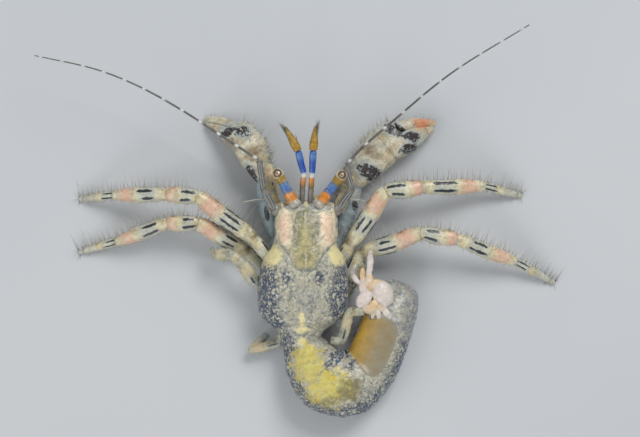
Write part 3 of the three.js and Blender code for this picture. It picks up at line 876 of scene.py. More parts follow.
@dataclass(frozen=True)
class Finish:
    """A finish: two clouded base tones, or bands along a stalk, and the layers over them."""

    name: str
    base: Triple
    second: Triple
    layers: tuple[Layer, ...] = ()
    bands: tuple[tuple[float, Triple], ...] = ()
    band_waver: float = 0.06
    cloud: float = 1.0
    roughness: float = 0.34
    grain: float = 0.35
    grain_per_mm: float = 8.0
    coat: float = 0.25
    coat_roughness: float = 0.2
    flesh: float = 0.22
    reach: float = 0.28  # how far light passes under the surface, in millimetres
    bloom: float = 0.0  # how much its edges gleam
    bloom_tone: Triple = (214, 218, 218)

    def ground(self, tree: Tree, place: object) -> Socket:
        """Draws what lies under all layers.

        Args:
            tree: the node tree to draw in.
            place: the place in millimetres.

        Returns:
            Its colour.
        """
        if not self.bands:
            cloud, = tree.shared(Effect.TWO_TONES, place=place, per_mm=self.cloud)
            return tree.mix(cloud, colour(*self.base), colour(*self.second))
        along, = tree.shared(Effect.STRAYED, place=place, value=tree.marking("length"),
                             waver=self.band_waver)
        ramp = tree.node("ValToRGB", {0: along})
        stops = ramp.color_ramp.elements
        while len(stops) < len(self.bands):
            stops.new(1.0)
        for stop, (share, tone) in zip(stops, self.bands):
            stop.position, stop.color = share, colour(*tone)
        return ramp.outputs[0]

    def build(self) -> bpy.types.Material:
        """Builds the material, which reads the marking fields that its layers name.

        Returns:
            The material.
        """
        material = bpy.data.materials.new(self.name)
        material.use_nodes = True
        tree = Tree(material.node_tree)
        where = tree.node("TexCoord").outputs["Object"]
        place = tree.vector("SCALE", where, 1 / MM)
        paint = self.ground(tree, place)
        height, dull = tree.shared(Effect.GRAIN, place=place, per_mm=self.grain_per_mm)
        for index, layer in enumerate(self.layers):
            shift = (LAYER_SHIFT[0] * index, *LAYER_SHIFT[1:])
            share = layer.mask(tree, tree.vector("ADD", place, shift))
            paint = tree.mix(share, paint, colour(*layer.tone))
            if layer.height:
                height = tree.sum("ADD", height, tree.sum("MULTIPLY", share, layer.height))
        relief = tree.node("Bump", {"Height": height, "Strength": self.grain,
                                    "Distance": RELIEF * MM})
        links = {"Base Color": paint, "Roughness": tree.sum("ADD", dull, self.roughness),
                 "Normal": relief.outputs[0]}
        shader = material.node_tree.nodes["Principled BSDF"]
        for key, socket in links.items():
            tree.tree.links.new(socket, shader.inputs[key])
        for key, value in (("Coat Weight", self.coat), ("Coat Roughness", self.coat_roughness),
                           ("Subsurface Weight", self.flesh),
                           ("Subsurface Radius", (1.0, 0.7, 0.5)), ("Sheen Weight", self.bloom),
                           ("Sheen Tint", colour(*self.bloom_tone)), ("Sheen Roughness", 0.4),
                           ("Subsurface Scale", self.reach * MM)):
            shader.inputs[key].default_value = value
        return material


def shell(name: str, cream: Triple, warm: Triple, pink: Triple, olive: Triple, frost: Triple,
          dark: Triple, shade: Triple = (112, 112, 106), flecks: float = 0.2,
          dotted: float = 0.0, mottle: float = 0.34, icy: float = 0.8, ragged: float = 0.35,
          veins: float = 0.0, **settings: object) -> Finish:
    """Mixes the finish of a thin mottled shell.

    Args:
        name: its name.
        cream: its base tone.
        warm: a second base tone.
        pink: the tone of the field pink.
        olive: the tone of the field olive.
        frost: the tone of the field frost, and of the halo round dark marks.
        dark: the tone of the field dark.
        shade: the tone of mottles, and of the painted shade near joints and on undersides.
        flecks: strength of its finest specks.
        dotted: strength of the pale dots inside dark marks.
        mottle: strength of its broad mottles.
        icy: strength of the tone frost.
        ragged: how far the outline of dark marks wavers.
        veins: strength of thin winding lines.
        **settings: other settings of the finish.

    Returns:
        The finish.
    """
    pale = tuple(min(255, round(level * 1.13)) for level in cream)
    return Finish(name, cream, warm, (
        Layer(shade, mottle, pattern=CLOUDS, fine=1.5, size=0.54),
        Layer(pale, 0.7, pattern=CLOUDS, fine=1.1, size=0.54),
        Layer(olive, mottle * 0.7, pattern=CLOUDS, fine=2.3, size=0.58, blur=0.07),
        Layer(pink, 0.9, "pink", 0.4, 0.55, 0.9, 1.2, CLOUDS, 1.6, 0.42, 0.22, 0.45),
        Layer(olive, 0.85, "olive", 0.35, 0.4, 0.6, 2.2, CLOUDS, 3.2, 0.48, 0.14, 0.45),
        Layer(frost, icy, "frost", 0.4, 0.5, 0.7, 1.4),
        Layer(frost, icy, "dark", -0.15, 0.45, 0.6),
        # Painted shade: the shade tone laid where the field shade is high, near joints and on
        # undersides.
        Layer(shade, 0.55, "shade", 0.5, 0.55, 0.3),
        Layer(shade, flecks * 1.3, pattern=CLOUDS, fine=5.0, size=0.6, blur=0.08),
        Layer(shade, veins, pattern=STRANDS, fine=2.3, size=0.05),
        Layer(pale, 0.5, pattern=DOTS, fine=3.4, size=0.16, height=0.6),
        Layer(dark, 0.97, "dark", 0.1, 0.15, ragged, 2.4),
        Layer(frost, dotted, "dark", 0.0, 0.2, 0.3, 3.0, DOTS, 2.6, 0.27),
    ), bloom_tone=frost, **settings)


class Look(Enum):
    """The finishes of the model."""

    SHIELD = Finish("shield_shell", (198, 190, 158), (178, 174, 142), (
        Layer((184, 172, 108), 0.85, "yellow", 0.2, 0.45, 0.7),
        Layer((248, 232, 200), 0.95, "pink", -0.05, 0.4, 0.8, 1.4, CLOUDS, 2.0, 0.44, 0.2, 0.7),
        Layer((246, 206, 180), 0.85, "pink", 0.5, 0.35, 0.7, 1.2, CLOUDS, 1.3, 0.42, 0.2, 0.6),
        Layer((104, 106, 92), 0.85, "mottle", 0.1, 0.45, 0.9, 1.8, CLOUDS, 2.8, 0.5, 0.1, 0.3),
        Layer((140, 136, 108), 0.5, pattern=CLOUDS, fine=2.0, size=0.53, hidden_by="pink"),
        Layer((118, 124, 126), 0.9, "side", 0.4, 0.4, 0.9, 2.0, CLOUDS, 3.0, 0.46),
        Layer((220, 214, 184), 0.5, pattern=DOTS, fine=3.2, size=0.22, height=0.4,
              hidden_by="pink"),
        Layer((112, 106, 82), 0.4, pattern=CLOUDS, fine=5.0, size=0.59, blur=0.06),
        Layer((216, 208, 178), 0.5, "pale", 0.25, 0.35, 0.9, 3.0),
        # Painted shade: darker along the engraved grooves.
        Layer((112, 106, 82), 0.4, "groove", 0.5, 0.5, 0.5, 3.0),
    ), cloud=1.6, roughness=0.36, grain=0.5, bloom_tone=(150, 152, 146), bloom=0.25)
    SKIN = Finish("soft_skin", (180, 174, 154), (136, 138, 132), (
        Layer((2, 32, 68), 0.98, "navy", 0.32, 0.3, 0.6, 1.1),
        Layer((26, 80, 138), 0.5, "navy", 0.3, 0.4, 0.5, 1.2, CLOUDS, 2.6, 0.56),
        Layer((112, 115, 116), 0.85, "grey", 0.5, 0.35, 0.6, 1.5),
        Layer((186, 178, 152), 0.6, pattern=CLOUDS, fine=1.3, hidden_by="navy", hiding=0.85),
        Layer((176, 180, 168), 0.55, pattern=DOTS, fine=6.0, size=0.3, hidden_by="grey",
              height=0.3),
        Layer((26, 48, 76), 0.6, pattern=CLOUDS, fine=3.4, size=0.56, blur=0.06,
              hidden_by="grey"),
        Layer((196, 194, 174), 0.8, pattern=DOTS, fine=3.9, size=0.3, hidden_by="grey",
              height=0.6),
        Layer((204, 200, 174), 0.85, pattern=DOTS, fine=2.5, size=0.3, blur=0.15,
              hidden_by="grey", height=0.8),
        Layer((196, 200, 198), 0.28, pattern=STRANDS, fine=2.4, size=0.03),
        Layer((200, 202, 200), 0.55, "grey", 0.5, 0.3, 0.5, 1.5, STRANDS, 2.1, 0.045),
        Layer((240, 226, 166), 0.95, "warm", 0.05, 0.35, 0.9, 1.8, CLOUDS, 3.0, 0.42, 0.14, 0.7),
        Layer((212, 190, 64), 0.94, "yolk", 0.02, 0.3, 0.9, 1.1, CLOUDS, 1.7, 0.42, 0.16, 0.7),
        Layer((122, 110, 50), 0.85, "olive", 0.15, 0.4, 0.8, 1.1, CLOUDS, 2.2, 0.42, 0.16,
              0.55),
        Layer((222, 214, 128), 0.75, "yolk", 0.3, 0.4, 1.2, 1.3, CLOUDS, 1.8, 0.52, 0.12),
        Layer((176, 182, 166), 0.5, "yolk", -0.1, 0.4, 0.6, 1.0, STRANDS, 1.4, 0.05),
        Layer((96, 108, 112), 0.4, "yolk", -0.1, 0.4, 0.6, 1.0, CLOUDS, 1.5, 0.63, 0.06),
        Layer((192, 152, 52), 0.97, "window", 0.08, 0.08, 0.3, 2.2),
        Layer((146, 138, 118), 0.97, "pane", 0.45, 0.6, 0.3, 1.2),
        Layer((142, 116, 54), 0.4, "window", 0.08, 0.08, 0.3, 2.2, CLOUDS, 0.9, 0.54, 0.12),
    ), roughness=0.32, grain=0.4, grain_per_mm=3.4, coat=0.2, flesh=0.25, reach=0.3,
        bloom_tone=(84, 116, 156), bloom=0.3)
    LEG = shell("leg_shell", (204, 198, 170), (208, 194, 148), (220, 172, 148), (126, 100, 62),
                (168, 180, 182), (24, 28, 38), (120, 116, 106), icy=0.45, ragged=1.1,
                bloom=0.3)
    CLAW = shell("claw_shell", (200, 195, 174), (196, 180, 142), (224, 112, 14),
                 (118, 94, 60), (172, 184, 184), (40, 26, 28), (124, 114, 94), 0.35, 0.7,
                 0.42, ragged=0.9, veins=0.2, grain=0.8, bloom=0.3)
    BLUE_GREY = shell("blue_grey_shell", (136, 154, 162), (152, 164, 164), (204, 194, 182),
                      (96, 104, 100), (164, 176, 180), (36, 34, 40), (78, 90, 98), 0.25,
                      bloom=0.3)
    PALE = shell("tail_shell", (214, 202, 192), (206, 190, 176), (218, 184, 130),
                 (150, 134, 122), (222, 212, 204), (84, 84, 84), (126, 118, 116), 0.15,
                 mottle=0.5, flesh=0.35, bloom=0.25)
    SHORT = shell("short_leg_shell", (178, 174, 152), (190, 180, 138), (204, 184, 144),
                  (98, 98, 90), (158, 166, 166), (52, 54, 58), flecks=0.3, bloom=0.35)
    MOUTH = shell("mouth_shell", (192, 180, 152), (204, 186, 120), (216, 172, 150),
                  (178, 156, 84), (180, 182, 174), (40, 38, 40), flecks=0.3, bloom=0.35)
    FEELER = shell("feeler_shell", (74, 72, 70), (92, 88, 82), (176, 154, 144),
                   (76, 72, 60), (228, 228, 224), (30, 30, 34), flecks=0.3, grain=0.2)
    STALK = shell("antenna_stalk_shell", (106, 106, 100), (122, 114, 98), (184, 156, 142),
                  (92, 84, 66), (140, 144, 140), (48, 42, 44), (84, 82, 78), 0.5,
                  bloom=0.4)
    MEMBRANE = shell("joint_membrane", (160, 154, 140), (170, 158, 134), (180, 154, 138),
                     (130, 120, 98), (172, 178, 180), (86, 82, 80))
    EYESTALK = Finish("eyestalk_shell", (0, 0, 0), (0, 0, 0), (
        Layer((70, 62, 46), 0.45, pattern=CLOUDS, fine=5.0, size=0.58, blur=0.08),
        Layer((226, 218, 190), 0.25, pattern=CLOUDS, fine=2.0, size=0.58),
        Layer((230, 226, 206), 0.4, pattern=DOTS, fine=4.0, size=0.14),
    ), (
        (0.0, (140, 138, 130)), (0.1, (176, 172, 158)), (0.175, (170, 158, 134)),
        (0.21, (212, 128, 30)), (0.4, (216, 134, 36)), (0.435, (96, 112, 140)),
        (0.5, (58, 100, 164)), (0.68, (72, 116, 176)), (0.725, (104, 112, 88)),
        (0.76, (150, 116, 22)), (0.93, (162, 130, 38)), (1.0, (190, 166, 104)),
    ), 0.12, coat=0.5, coat_roughness=0.14, flesh=0.18, reach=0.2)
    ANTENNULE = Finish("antennule_shell", (0, 0, 0), (0, 0, 0), (
        Layer((150, 170, 196), 0.3, pattern=CLOUDS, fine=2.6, size=0.6),
        Layer((60, 58, 60), 0.3, pattern=CLOUDS, fine=4.0, size=0.6),
    ), (
        (0.0, (116, 116, 112)), (0.26, (132, 128, 118)), (0.35, (112, 94, 52)),
        (0.44, (196, 128, 28)), (0.51, (206, 138, 38)), (0.535, (206, 208, 200)),
        (0.585, (206, 208, 206)), (0.615, (28, 84, 172)), (0.78, (22, 72, 160)),
        (0.9, (84, 128, 184)), (1.0, (36, 86, 162)),
    ), roughness=0.26, coat=0.5, coat_roughness=0.14, flesh=0.18, reach=0.2)
    LASH_TIP = Finish("antennule_tip", (0, 0, 0), (0, 0, 0), (
        Layer((74, 66, 32), 0.55, pattern=CLOUDS, fine=3.6, size=0.54),
        Layer((206, 170, 60), 0.4, pattern=CLOUDS, fine=2.6, size=0.56),
    ), (
        (0.0, (70, 78, 84)), (0.06, (186, 138, 26)), (0.2, (170, 130, 22)),
        (0.75, (150, 118, 28)), (0.9, (112, 98, 52)), (1.0, (100, 94, 80)),
    ), 0.1, coat=0.3, flesh=0.2, reach=0.2)
    # Painted pseudopupil: the dark ring and dark middle with its pale centre, which the eye shows
    # only along a viewer's line of sight, are painted on its upper side.
    CORNEA = Finish("cornea_glass", (222, 206, 162), (206, 180, 128), (
        Layer((210, 172, 148), 0.7, "middle", 0.2, 0.3, 0.4, 3.0),
        Layer((62, 44, 36), 0.92, "ring", 0.25, 0.3, 0.6, 3.5),
        Layer((84, 54, 44), 0.9, "middle", 0.5, 0.25, 0.9, 4.5),
        Layer((216, 200, 168), 0.9, "middle", 0.88, 0.1, 0.1, 4.0),
    ), roughness=0.16, grain=0.15, grain_per_mm=22.0, coat=1.0, coat_roughness=0.03,
        flesh=0.15, reach=0.2)
    SETA = Finish("seta_pale", (142, 134, 116), (150, 142, 126), (
        Layer((188, 186, 178), 1.0, "tip", 0.4, 0.4, 0.3, 2.0),), flesh=0.3, reach=0.15)
    BRUSH = Finish("seta_brush", (140, 116, 50), (128, 110, 60), (
        Layer((122, 120, 114), 1.0, "tip", 0.4, 0.4, 0.3, 2.0),), flesh=0.3, reach=0.15)
    FLOOR = Finish("table_top", (198, 200, 202), (192, 195, 198), cloud=0.012, roughness=0.6,
                   grain=0.0, coat=0.0, flesh=0.0)

    @cached_property
    def material(self) -> bpy.types.Material:
        """Returns the look's material, built when it is first asked for."""
        return self.value.build()


# ------------------------------------------------------------------ jointed limbs
NOWHERE = (9.0, 9.0)
RING_SPACING = 0.12  # between the rings of an article's mesh
WAIST_REACH = 0.09  # how far along an article its narrow ends reach
STRIPE_FILL = 0.44  # share of its lane that a stripe takes
ROW_START, ROW_END = 0.06, 0.96  # the share of an article along which tufts stand
FOLLICLE_HEIGHT, FOLLICLE_WIDTH = 0.03, 0.118  # of the knob under each tuft


class Side(Enum):
    """The animal's two sides, with the sign that puts a limb's front edge at angle 0."""

    LEFT = 1
    RIGHT = -1

    def __str__(self) -> str:
        """Returns the side's name in the frame."""
        return self.name.lower()


@dataclass(frozen=True)
class TuftRow:
    """A row of hair tufts along an article."""

    angle: float
    spacing: float
    hairs: int
    length: float
    half: float = 0.022
    spread: float = 0.22
    sweep: float = 0.1  # how far the hairs lean towards the limb's tip


@dataclass(frozen=True)
class Marks:
    """Where an article carries its markings: shares of its length, and blobs of share and angle."""

    stripes: tuple[float, float] = NOWHERE
    stripe_count: int = 6
    stripe_turn: float = 0.0
    pink: tuple[float, float] = NOWHERE
    frost: tuple[float, float] = NOWHERE
    olive: tuple[Blob, ...] = ()
    dark: tuple[Blob, ...] = ()


@dataclass
class Plate:
    """One stiff article of a limb: a stretch of a line, its half widths, hairs and markings."""

    part: str
    line: Line
    start: float
    end: float
    halves: tuple[float, ...]
    length: float
    side: Side
    chance: random.Random
    rows: tuple[TuftRow, ...] = ()
    marks: Marks = Marks()
    plan: dict[str, tuple[Blob, ...]] = field(default_factory=dict)  # patches seen from above
    depth: float = 0.85
    square: float = 2.2
    tip: bool = False
    waist: float = 0.13
    lumps: float = 0.035
    cut: tuple[float, float] = (2.0, 1.0)  # where the front side steps back, and what stays

    def reach(self, share: Array) -> Array:
        """Returns the place on the line of a share of the article."""
        return self.start + (self.end - self.start) * share

    def fullness(self, angle: Array) -> Array:
        """Returns how far the section stands out beyond an ellipse at an angle in radians."""
        power = self.square
        return (np.abs(np.cos(angle)) ** power + np.abs(np.sin(angle)) ** power) ** (-1 / power)

    def half(self, share: Array) -> Array:
        """Works out the half width, narrower at the joints.

        Args:
            share: shares of the length.

        Returns:
            The half width at each share.
        """
        base = 1 - self.waist * bell(share, WAIST_REACH)
        end = 1 - self.waist * 0.6 * bell(1 - share, WAIST_REACH)
        return blend(self.halves, share) * (base * end)

    def spot(self, share: Array, angle: Array) -> tuple[Array, ...]:
        """Returns places on the surface.

        Args:
            share: their shares of the article.
            angle: their angles round it in radians.

        Returns:
            The points, and the ways out of the surface and along the article.
        """
        centre, along, side, top = self.line.frame(self.reach(share))
        half = self.half(share) * self.fullness(angle)
        out = (self.side.value * np.cos(angle) * half)[:, None] * side
        out = out + (np.sin(angle) * half * self.depth)[:, None] * top
        return centre + out, unit(out), along

    def stations(self) -> tuple[Array, Array]:
        """Places the rings.

        The base is domed and sits in the hollow end of the article before; the far end is an open
        lip round a hollow, or a rounded claw tip.

        Returns:
            The places, and the share of the section at each.
        """
        share = evenly(max(14, round(self.length / RING_SPACING)))
        base = np.array([-0.14, -0.13, -0.09, -0.04]) / self.length
        base_size = [0.12, 0.4, 0.6, 0.78]
        if self.tip:
            past = np.clip((share - 1) * self.length / 0.3 + 1, 0, 1)
            size = np.sqrt(np.maximum(1 - past**2, 0.004))
            return np.append(base, share), np.append(base_size, size)
        size = 1 + 0.015 * bell((1 - share) * self.length, 0.25)
        lip = 1 + np.array([0.03, 0.03, -0.02, -0.1, -0.11]) / self.length
        return (np.concatenate([base, share, lip]),
                np.concatenate([base_size, size, [0.97, 0.88, 0.8, 0.5, 0.12]]))

    def fields(self, share: Array, angle: Array) -> Fields:
        """Works out the marking fields.

        Args:
            share: share of the article by ring.
            angle: angle round it in radians by point.

        Returns:
            Each field by ring and point.
        """
        marks = self.marks
        grid = np.zeros(np.broadcast(share, angle).shape)

        def band(limits: tuple[float, float], fade: float) -> Array:
            """Returns the field of a ring round the limb."""
            inside = np.minimum(share - limits[0], limits[1] - share)
            return np.clip(inside * self.length / fade, -2, 1) + grid

        dark, olive = (strongest(blobs, share + grid, np.degrees(angle) + grid)
                       for blobs in (marks.dark, marks.olive))
        low, high = marks.stripes
        lane = (angle - math.radians(marks.stripe_turn)) * marks.stripe_count / math.tau
        number = np.mod(np.round(lane), marks.stripe_count).astype(int)
        shifts = np.array([[self.chance.uniform(-0.055, 0.055) for _ in range(2)]
                           for _ in range(marks.stripe_count)])[number]
        ends = np.minimum(share - low - shifts[..., 0], high + shifts[..., 1] - share)
        ends = ends * self.length / 0.5
        taper = 0.5 * np.exp(-np.maximum(ends, 0) * 2.2)
        across = np.cos(lane * math.tau) - math.cos(math.pi * STRIPE_FILL) - taper
        # Painted shade: darker near both joints and on the article's underside, fading out towards
        # a claw's tip.
        joint = np.minimum(share, 1 - share) * self.length
        shade = 0.45 * bell(joint, 0.2) + 0.45 * smooth(-np.sin(angle), 0.1, 1.0)
        return {
            "dark": np.maximum(dark, np.maximum(np.minimum(across, ends), -2)),
            "frost": np.maximum(band((low - 0.05, high + 0.05), 0.5), band(marks.frost, 0.6)),
            "pink": band(marks.pink, 0.9), "olive": olive,
            "shade": shade * (smooth(1 - share, 0.05, 0.3) if self.tip else 1.0),
        }

    def tufts(self) -> tuple[Array, Array, list[TuftRow]]:
        """Scatters the tufts.

        Returns:
            The share, the angle and the row of every tuft.
        """
        places = []
        span = ROW_END - ROW_START
        for row in self.rows:
            steps = max(1, round(span * self.length / row.spacing))
            for step in range(steps + 1):
                share = ROW_START + span * (step + self.chance.uniform(-0.3, 0.3)) / steps
                turn = math.radians(row.angle + self.chance.uniform(-7, 7))
                places.append((min(max(share, 0.02), 0.985), turn, row))
        shares, turns, rows = zip(*places)
        return np.array(shares), np.array(turns), rows

    def draw(self, draft: Draft, sides: int, setae: Setae, unwrap: tuple[int, int],
             extra: Fields | None = None) -> None:
        """Adds the article's shell, and its hairs to a coat.

        Args:
            draft: takes the shell.
            sides: points in a ring.
            setae: takes the hairs.
            unwrap: which of how many stretches of the limb's unwrap this article takes.
            extra: fields that are the same all over.
        """
        share, size = self.stations()
        angle = circle(sides)
        high = self.half(share)[:, None] * self.fullness(angle)[None] * size[:, None]
        step = smooth(share, self.cut[0] - 0.05, self.cut[0] + 0.06)[:, None]
        wide = high * (1 - (1 - self.cut[1]) * step * (np.cos(angle) > 0))
        places = self.reach(share)
        points = ring_points(self.line, places, wide, high * self.depth, self.side.value)
        points = sum(points).reshape(-1, 3)
        shares, turns, rows = self.tufts()
        relief = np.zeros(high.shape)
        for place, turn in zip(shares, turns):
            gap = (share - place) * self.length
            around = (np.mod(angle - turn + math.pi, math.tau) - math.pi) * np.mean(self.halves)
            knob = bell(gap, FOLLICLE_WIDTH)[:, None]
            relief += FOLLICLE_HEIGHT * knob * bell(around, FOLLICLE_WIDTH)
        rough = self.lumps * (ripple(points, 0.8, len(self.part)) + 0.5 * ripple(points, 0.3, 7))
        relief = (relief + rough.reshape(relief.shape)) * np.minimum(size, 1)[:, None] ** 2
        values = self.fields(share[:, None], angle[None])
        hidden = 1.6 * smooth(-np.sin(angle), -0.25, 0.35)
        for key, blobs in self.plan.items():
            value = strongest(blobs, points[:, 0], points[:, 1]).reshape(high.shape) - hidden
            values[key] = np.maximum(values[key], value)
        draft.bar(self.line, places, wide, high * self.depth, sides, self.side.value, relief,
                  {**values, **(extra or {})})
        spots = zip(*self.spot(shares, turns), rows, shares, turns)
        for point, way, ahead, row, place, turn in spots:
            if place > self.cut[0] and math.cos(turn) > 0.5:
                continue
            where = ((unwrap[0] + place) / unwrap[1], float(np.mod(turn / math.tau, 1.0)))
            setae.tuft(point, unit(way + ahead * row.sweep), ahead * 0.4, row.hairs, row.length,
                       row.half, row.spread, where)


def limb_line(root: Triple, articles: list[tuple]) -> Line:
    """Draws the smooth middle line of a limb.

    Args:
        root: where it starts.
        articles: length, heading or two headings, and rise of each article.

    Returns:
        The line.
    """
    points = [np.array(root, float)]
    for length, heading, rise, *_ in articles:
        for way in heading if isinstance(heading, tuple) else (heading, heading):
            points.append(points[-1] + direction(way, rise) * length / 2)
    return Line(points)


def plates_along(root: Triple, articles: dict[str, tuple], side: Side, seed: int,
                 **shared: object) -> list[Plate]:
    """Lays the articles of a limb along one smooth line.

    Args:
        root: where the limb starts.
        articles: length, heading, rise and half widths of each article by name.
        side: the limb's side of the animal.
        seed: seeds the limb's random draws.
        **shared: settings of every article.

    Returns:
        The articles in their order.
    """
    line, chance = limb_line(root, list(articles.values())), random.Random(seed)
    count = len(articles)
    return [Plate(part, line, index / count, (index + 1) / count, halves, length, side, chance,
                  **shared)
            for index, (part, (length, _, _, halves)) in enumerate(articles.items())]


def add_coxa(draft: Draft, plate: Plate) -> None:
    """Adds the short, swollen base by which a limb hangs on the body.

    Args:
        draft: takes the base.
        plate: the limb's first article.
    """
    places = plate.start + np.linspace(-0.9, 0.35, 12) / plate.line.length
    half = plate.halves[0] * 1.28 * np.sqrt(1 - np.linspace(-0.97, 0.97, 12) ** 2)
    # Painted shade: the whole base is marked as partly shaded.
    draft.bar(plate.line, places, half, half * 0.95, 24, plate.side.value,
              fields={**BARE, "frost": 0.4, "shade": 0.4})


def add_joint_skins(name: str, plates: list[Plate], slot: str) -> None:
    """Builds the soft skin that bridges each joint of a limb as one piece.

    Args:
        name: the piece's name.
        plates: the limb's articles.
        slot: the record's material slot.
    """
    draft = Draft()
    share = np.linspace(-1, 1, 9)
    for before, after in zip(plates, plates[1:]):
        half = min(before.half(np.ones(1))[0], after.half(np.zeros(1))[0])
        swell = half * 0.9 * (1 - 0.45 * share**2)
        draft.bar(before.line, before.end + share * 0.16 / before.line.length, swell,
                  swell * before.depth, 28, before.side.value, fields={**BARE, "frost": -2.0})
    draft.piece(name, Look.MEMBRANE, slot)


# Hairs: long and pale on the front and upper margins, short elsewhere.
LONG_ROWS = (
    TuftRow(0, 0.36, 1, 2.0, 0.024, 0.12, -0.05), TuftRow(24, 0.48, 1, 1.8, 0.024, 0.14, 0.0),
    TuftRow(52, 0.6, 2, 1.25, 0.02, 0.2, 0.0), TuftRow(88, 1.0, 2, 0.6, 0.018, 0.2, 0.4),
    TuftRow(125, 1.1, 2, 0.5, 0.018, 0.2, 0.4), TuftRow(170, 0.9, 2, 0.6, 0.018, 0.2, 0.4),
    TuftRow(215, 0.9, 2, 0.75, 0.02, 0.2, 0.3), TuftRow(265, 1.1, 2, 0.6, 0.02, 0.2, 0.4),
    TuftRow(325, 0.7, 2, 1.1, 0.02, 0.2, 0.1),
)
SHORT_ROWS = (
    TuftRow(8, 0.6, 2, 0.9, 0.018, 0.2, 0.3), TuftRow(85, 0.9, 2, 0.4, 0.016, 0.2, 0.5),
    TuftRow(175, 0.8, 2, 0.5, 0.016, 0.2, 0.3), TuftRow(270, 0.9, 2, 0.5, 0.016, 0.2, 0.5),
)


@dataclass
class WalkingLeg:
    """A second or third leg: five articles, striped across each joint, with long setae."""

    SIDES = 44

    name: str
    side: Side
    root: Triple
    size: float
    seed: int
    ways: tuple[Triple, ...]  # length, heading and rise of each article

    WIDTHS = {
        "ischium": (0.55, 0.66, 0.62), "merus": (0.66, 0.94, 0.78), "carpus": (0.66, 0.88, 0.76),
        "propodus": (0.68, 0.78, 0.52), "dactyl": (0.46, 0.38, 0.26),
    }
    MARKS = {
        "ischium": Marks(frost=(-0.2, 0.7), dark=(Blob(0.55, 40, 0.28, 14),)),
        "merus": Marks((0.32, 0.56), 8, 22, pink=(0.6, 0.95), dark=(Blob(0.42, 12, 0.12, 17),),
                       olive=(Blob(0.74, 16, 0.1, 34), Blob(0.06, 60, 0.1, 60))),
        "carpus": Marks((0.1, 0.52), pink=(0.68, 1.3), olive=(Blob(0.82, 22, 0.16, 30),)),
        "propodus": Marks((0.22, 0.5), pink=(0.58, 0.9), frost=(0.95, 1.3)),
        "dactyl": Marks((-0.1, 0.3), frost=(0.45, 1.2), olive=(Blob(0.85, 180, 0.05, 9999),)),
    }

    def build(self) -> None:
        """Builds the shells, the joint skins, the coxa and the coat of setae."""
        setae = Setae(self.seed)
        articles = {part: (*way, tuple(half * self.size for half in halves))
                    for way, (part, halves) in zip(self.ways, self.WIDTHS.items())}
        plates = plates_along(self.root, articles, self.side, self.seed, rows=LONG_ROWS)
        plates[0].rows = SHORT_ROWS
        plates[-1].tip = True
        for index, plate in enumerate(plates):
            plate.marks = self.MARKS[plate.part]
            draft = Draft()
            if index == 0:
                add_coxa(draft, plate)
            plate.draw(draft, self.SIDES, setae, (index, 5))
            draft.piece(f"{self.name}_{plate.part}_shell", Look.LEG, "walking_leg",
                        (f"{self.name}_{plate.part}",))
        add_joint_skins(f"{self.name}_joint_skins", plates, "walking_leg")
        setae.piece(f"{self.name}_setae", Look.SETA, "walking_leg")


@dataclass
class ShortLeg:
    """A fourth or fifth leg: short straight articles, the last with a rasp and a round tip."""

    name: str
    side: Side
    root: Triple
    seed: int
    articles: tuple[tuple[float, ...], ...]  # length, heading, rise and half widths

    SIDES = 32
    SCALES = 44  # of the rasp
    SCALE_LENGTH, SCALE_HALF = 0.085, 0.04

    def plates(self) -> list[Plate]:
        """Lays out the articles, each on its own straight line.

        Returns:
            The articles in their order.
        """
        chance = random.Random(self.seed)
        at = np.array(self.root, float)
        plates = []
        for index, (length, heading, rise, *halves) in enumerate(self.articles):
            last = index == len(self.articles) - 1
            marks = Marks(
                pink=(0.45, 0.85) if index % 2 else NOWHERE,
                frost=(0.6, 1.2) if last else (-0.2, 0.3),
                olive=(Blob(0.25, 70, 0.3, 60), Blob(0.9, 120, 0.15, 40)),
                dark=(Blob(0.3, 95, 0.22, 13),) if index == 1 else ())
            line = straight(at, direction(heading, rise) * length)
            plates.append(Plate(f"article_{index + 1}", line, -0.14, 1.12, tuple(halves), length,
                                self.side, chance, SHORT_ROWS, marks, tip=last, waist=0.12))
            at = line.points[-1]
        return plates

    def build(self) -> None:
        """Builds the leg as one piece with its horny rasp, and its setae as another."""
        draft, setae, plates = Draft(), Setae(self.seed), self.plates()
        add_coxa(draft, plates[0])
        for index, plate in enumerate(plates):
            plate.draw(draft, self.SIDES, setae, (index, len(plates)))
        for before, after in zip(plates, plates[1:]):
            knuckle = max(before.halves[-1], after.halves[0]) * 0.86
            joint, way, _, _ = after.line.spot(0.0)
            # Painted shade: the round knuckles between the articles are marked as partly shaded.
            pod(draft, [joint - way * knuckle, joint, joint + way * knuckle], (knuckle,) * 3, 0.85,
                {"shade": 0.4}, 2.0)
        draft = draft.fused(3, 0.015)
        chance = random.Random(self.seed + 50)
        shares = np.array([chance.uniform(0.42, 0.95) for _ in range(self.SCALES)])
        turns = np.radians([chance.uniform(15, 125) for _ in shares])
        for point, way, _ in zip(*plates[-1].spot(shares, turns)):
            cone(draft, point - way * 0.03, way, self.SCALE_LENGTH, self.SCALE_HALF, {"frost": 0.8})
        draft.piece(f"{self.name}_shell", Look.SHORT, "walking_leg", (self.name,))
        setae.piece(f"{self.name}_setae", Look.SETA, "walking_leg")


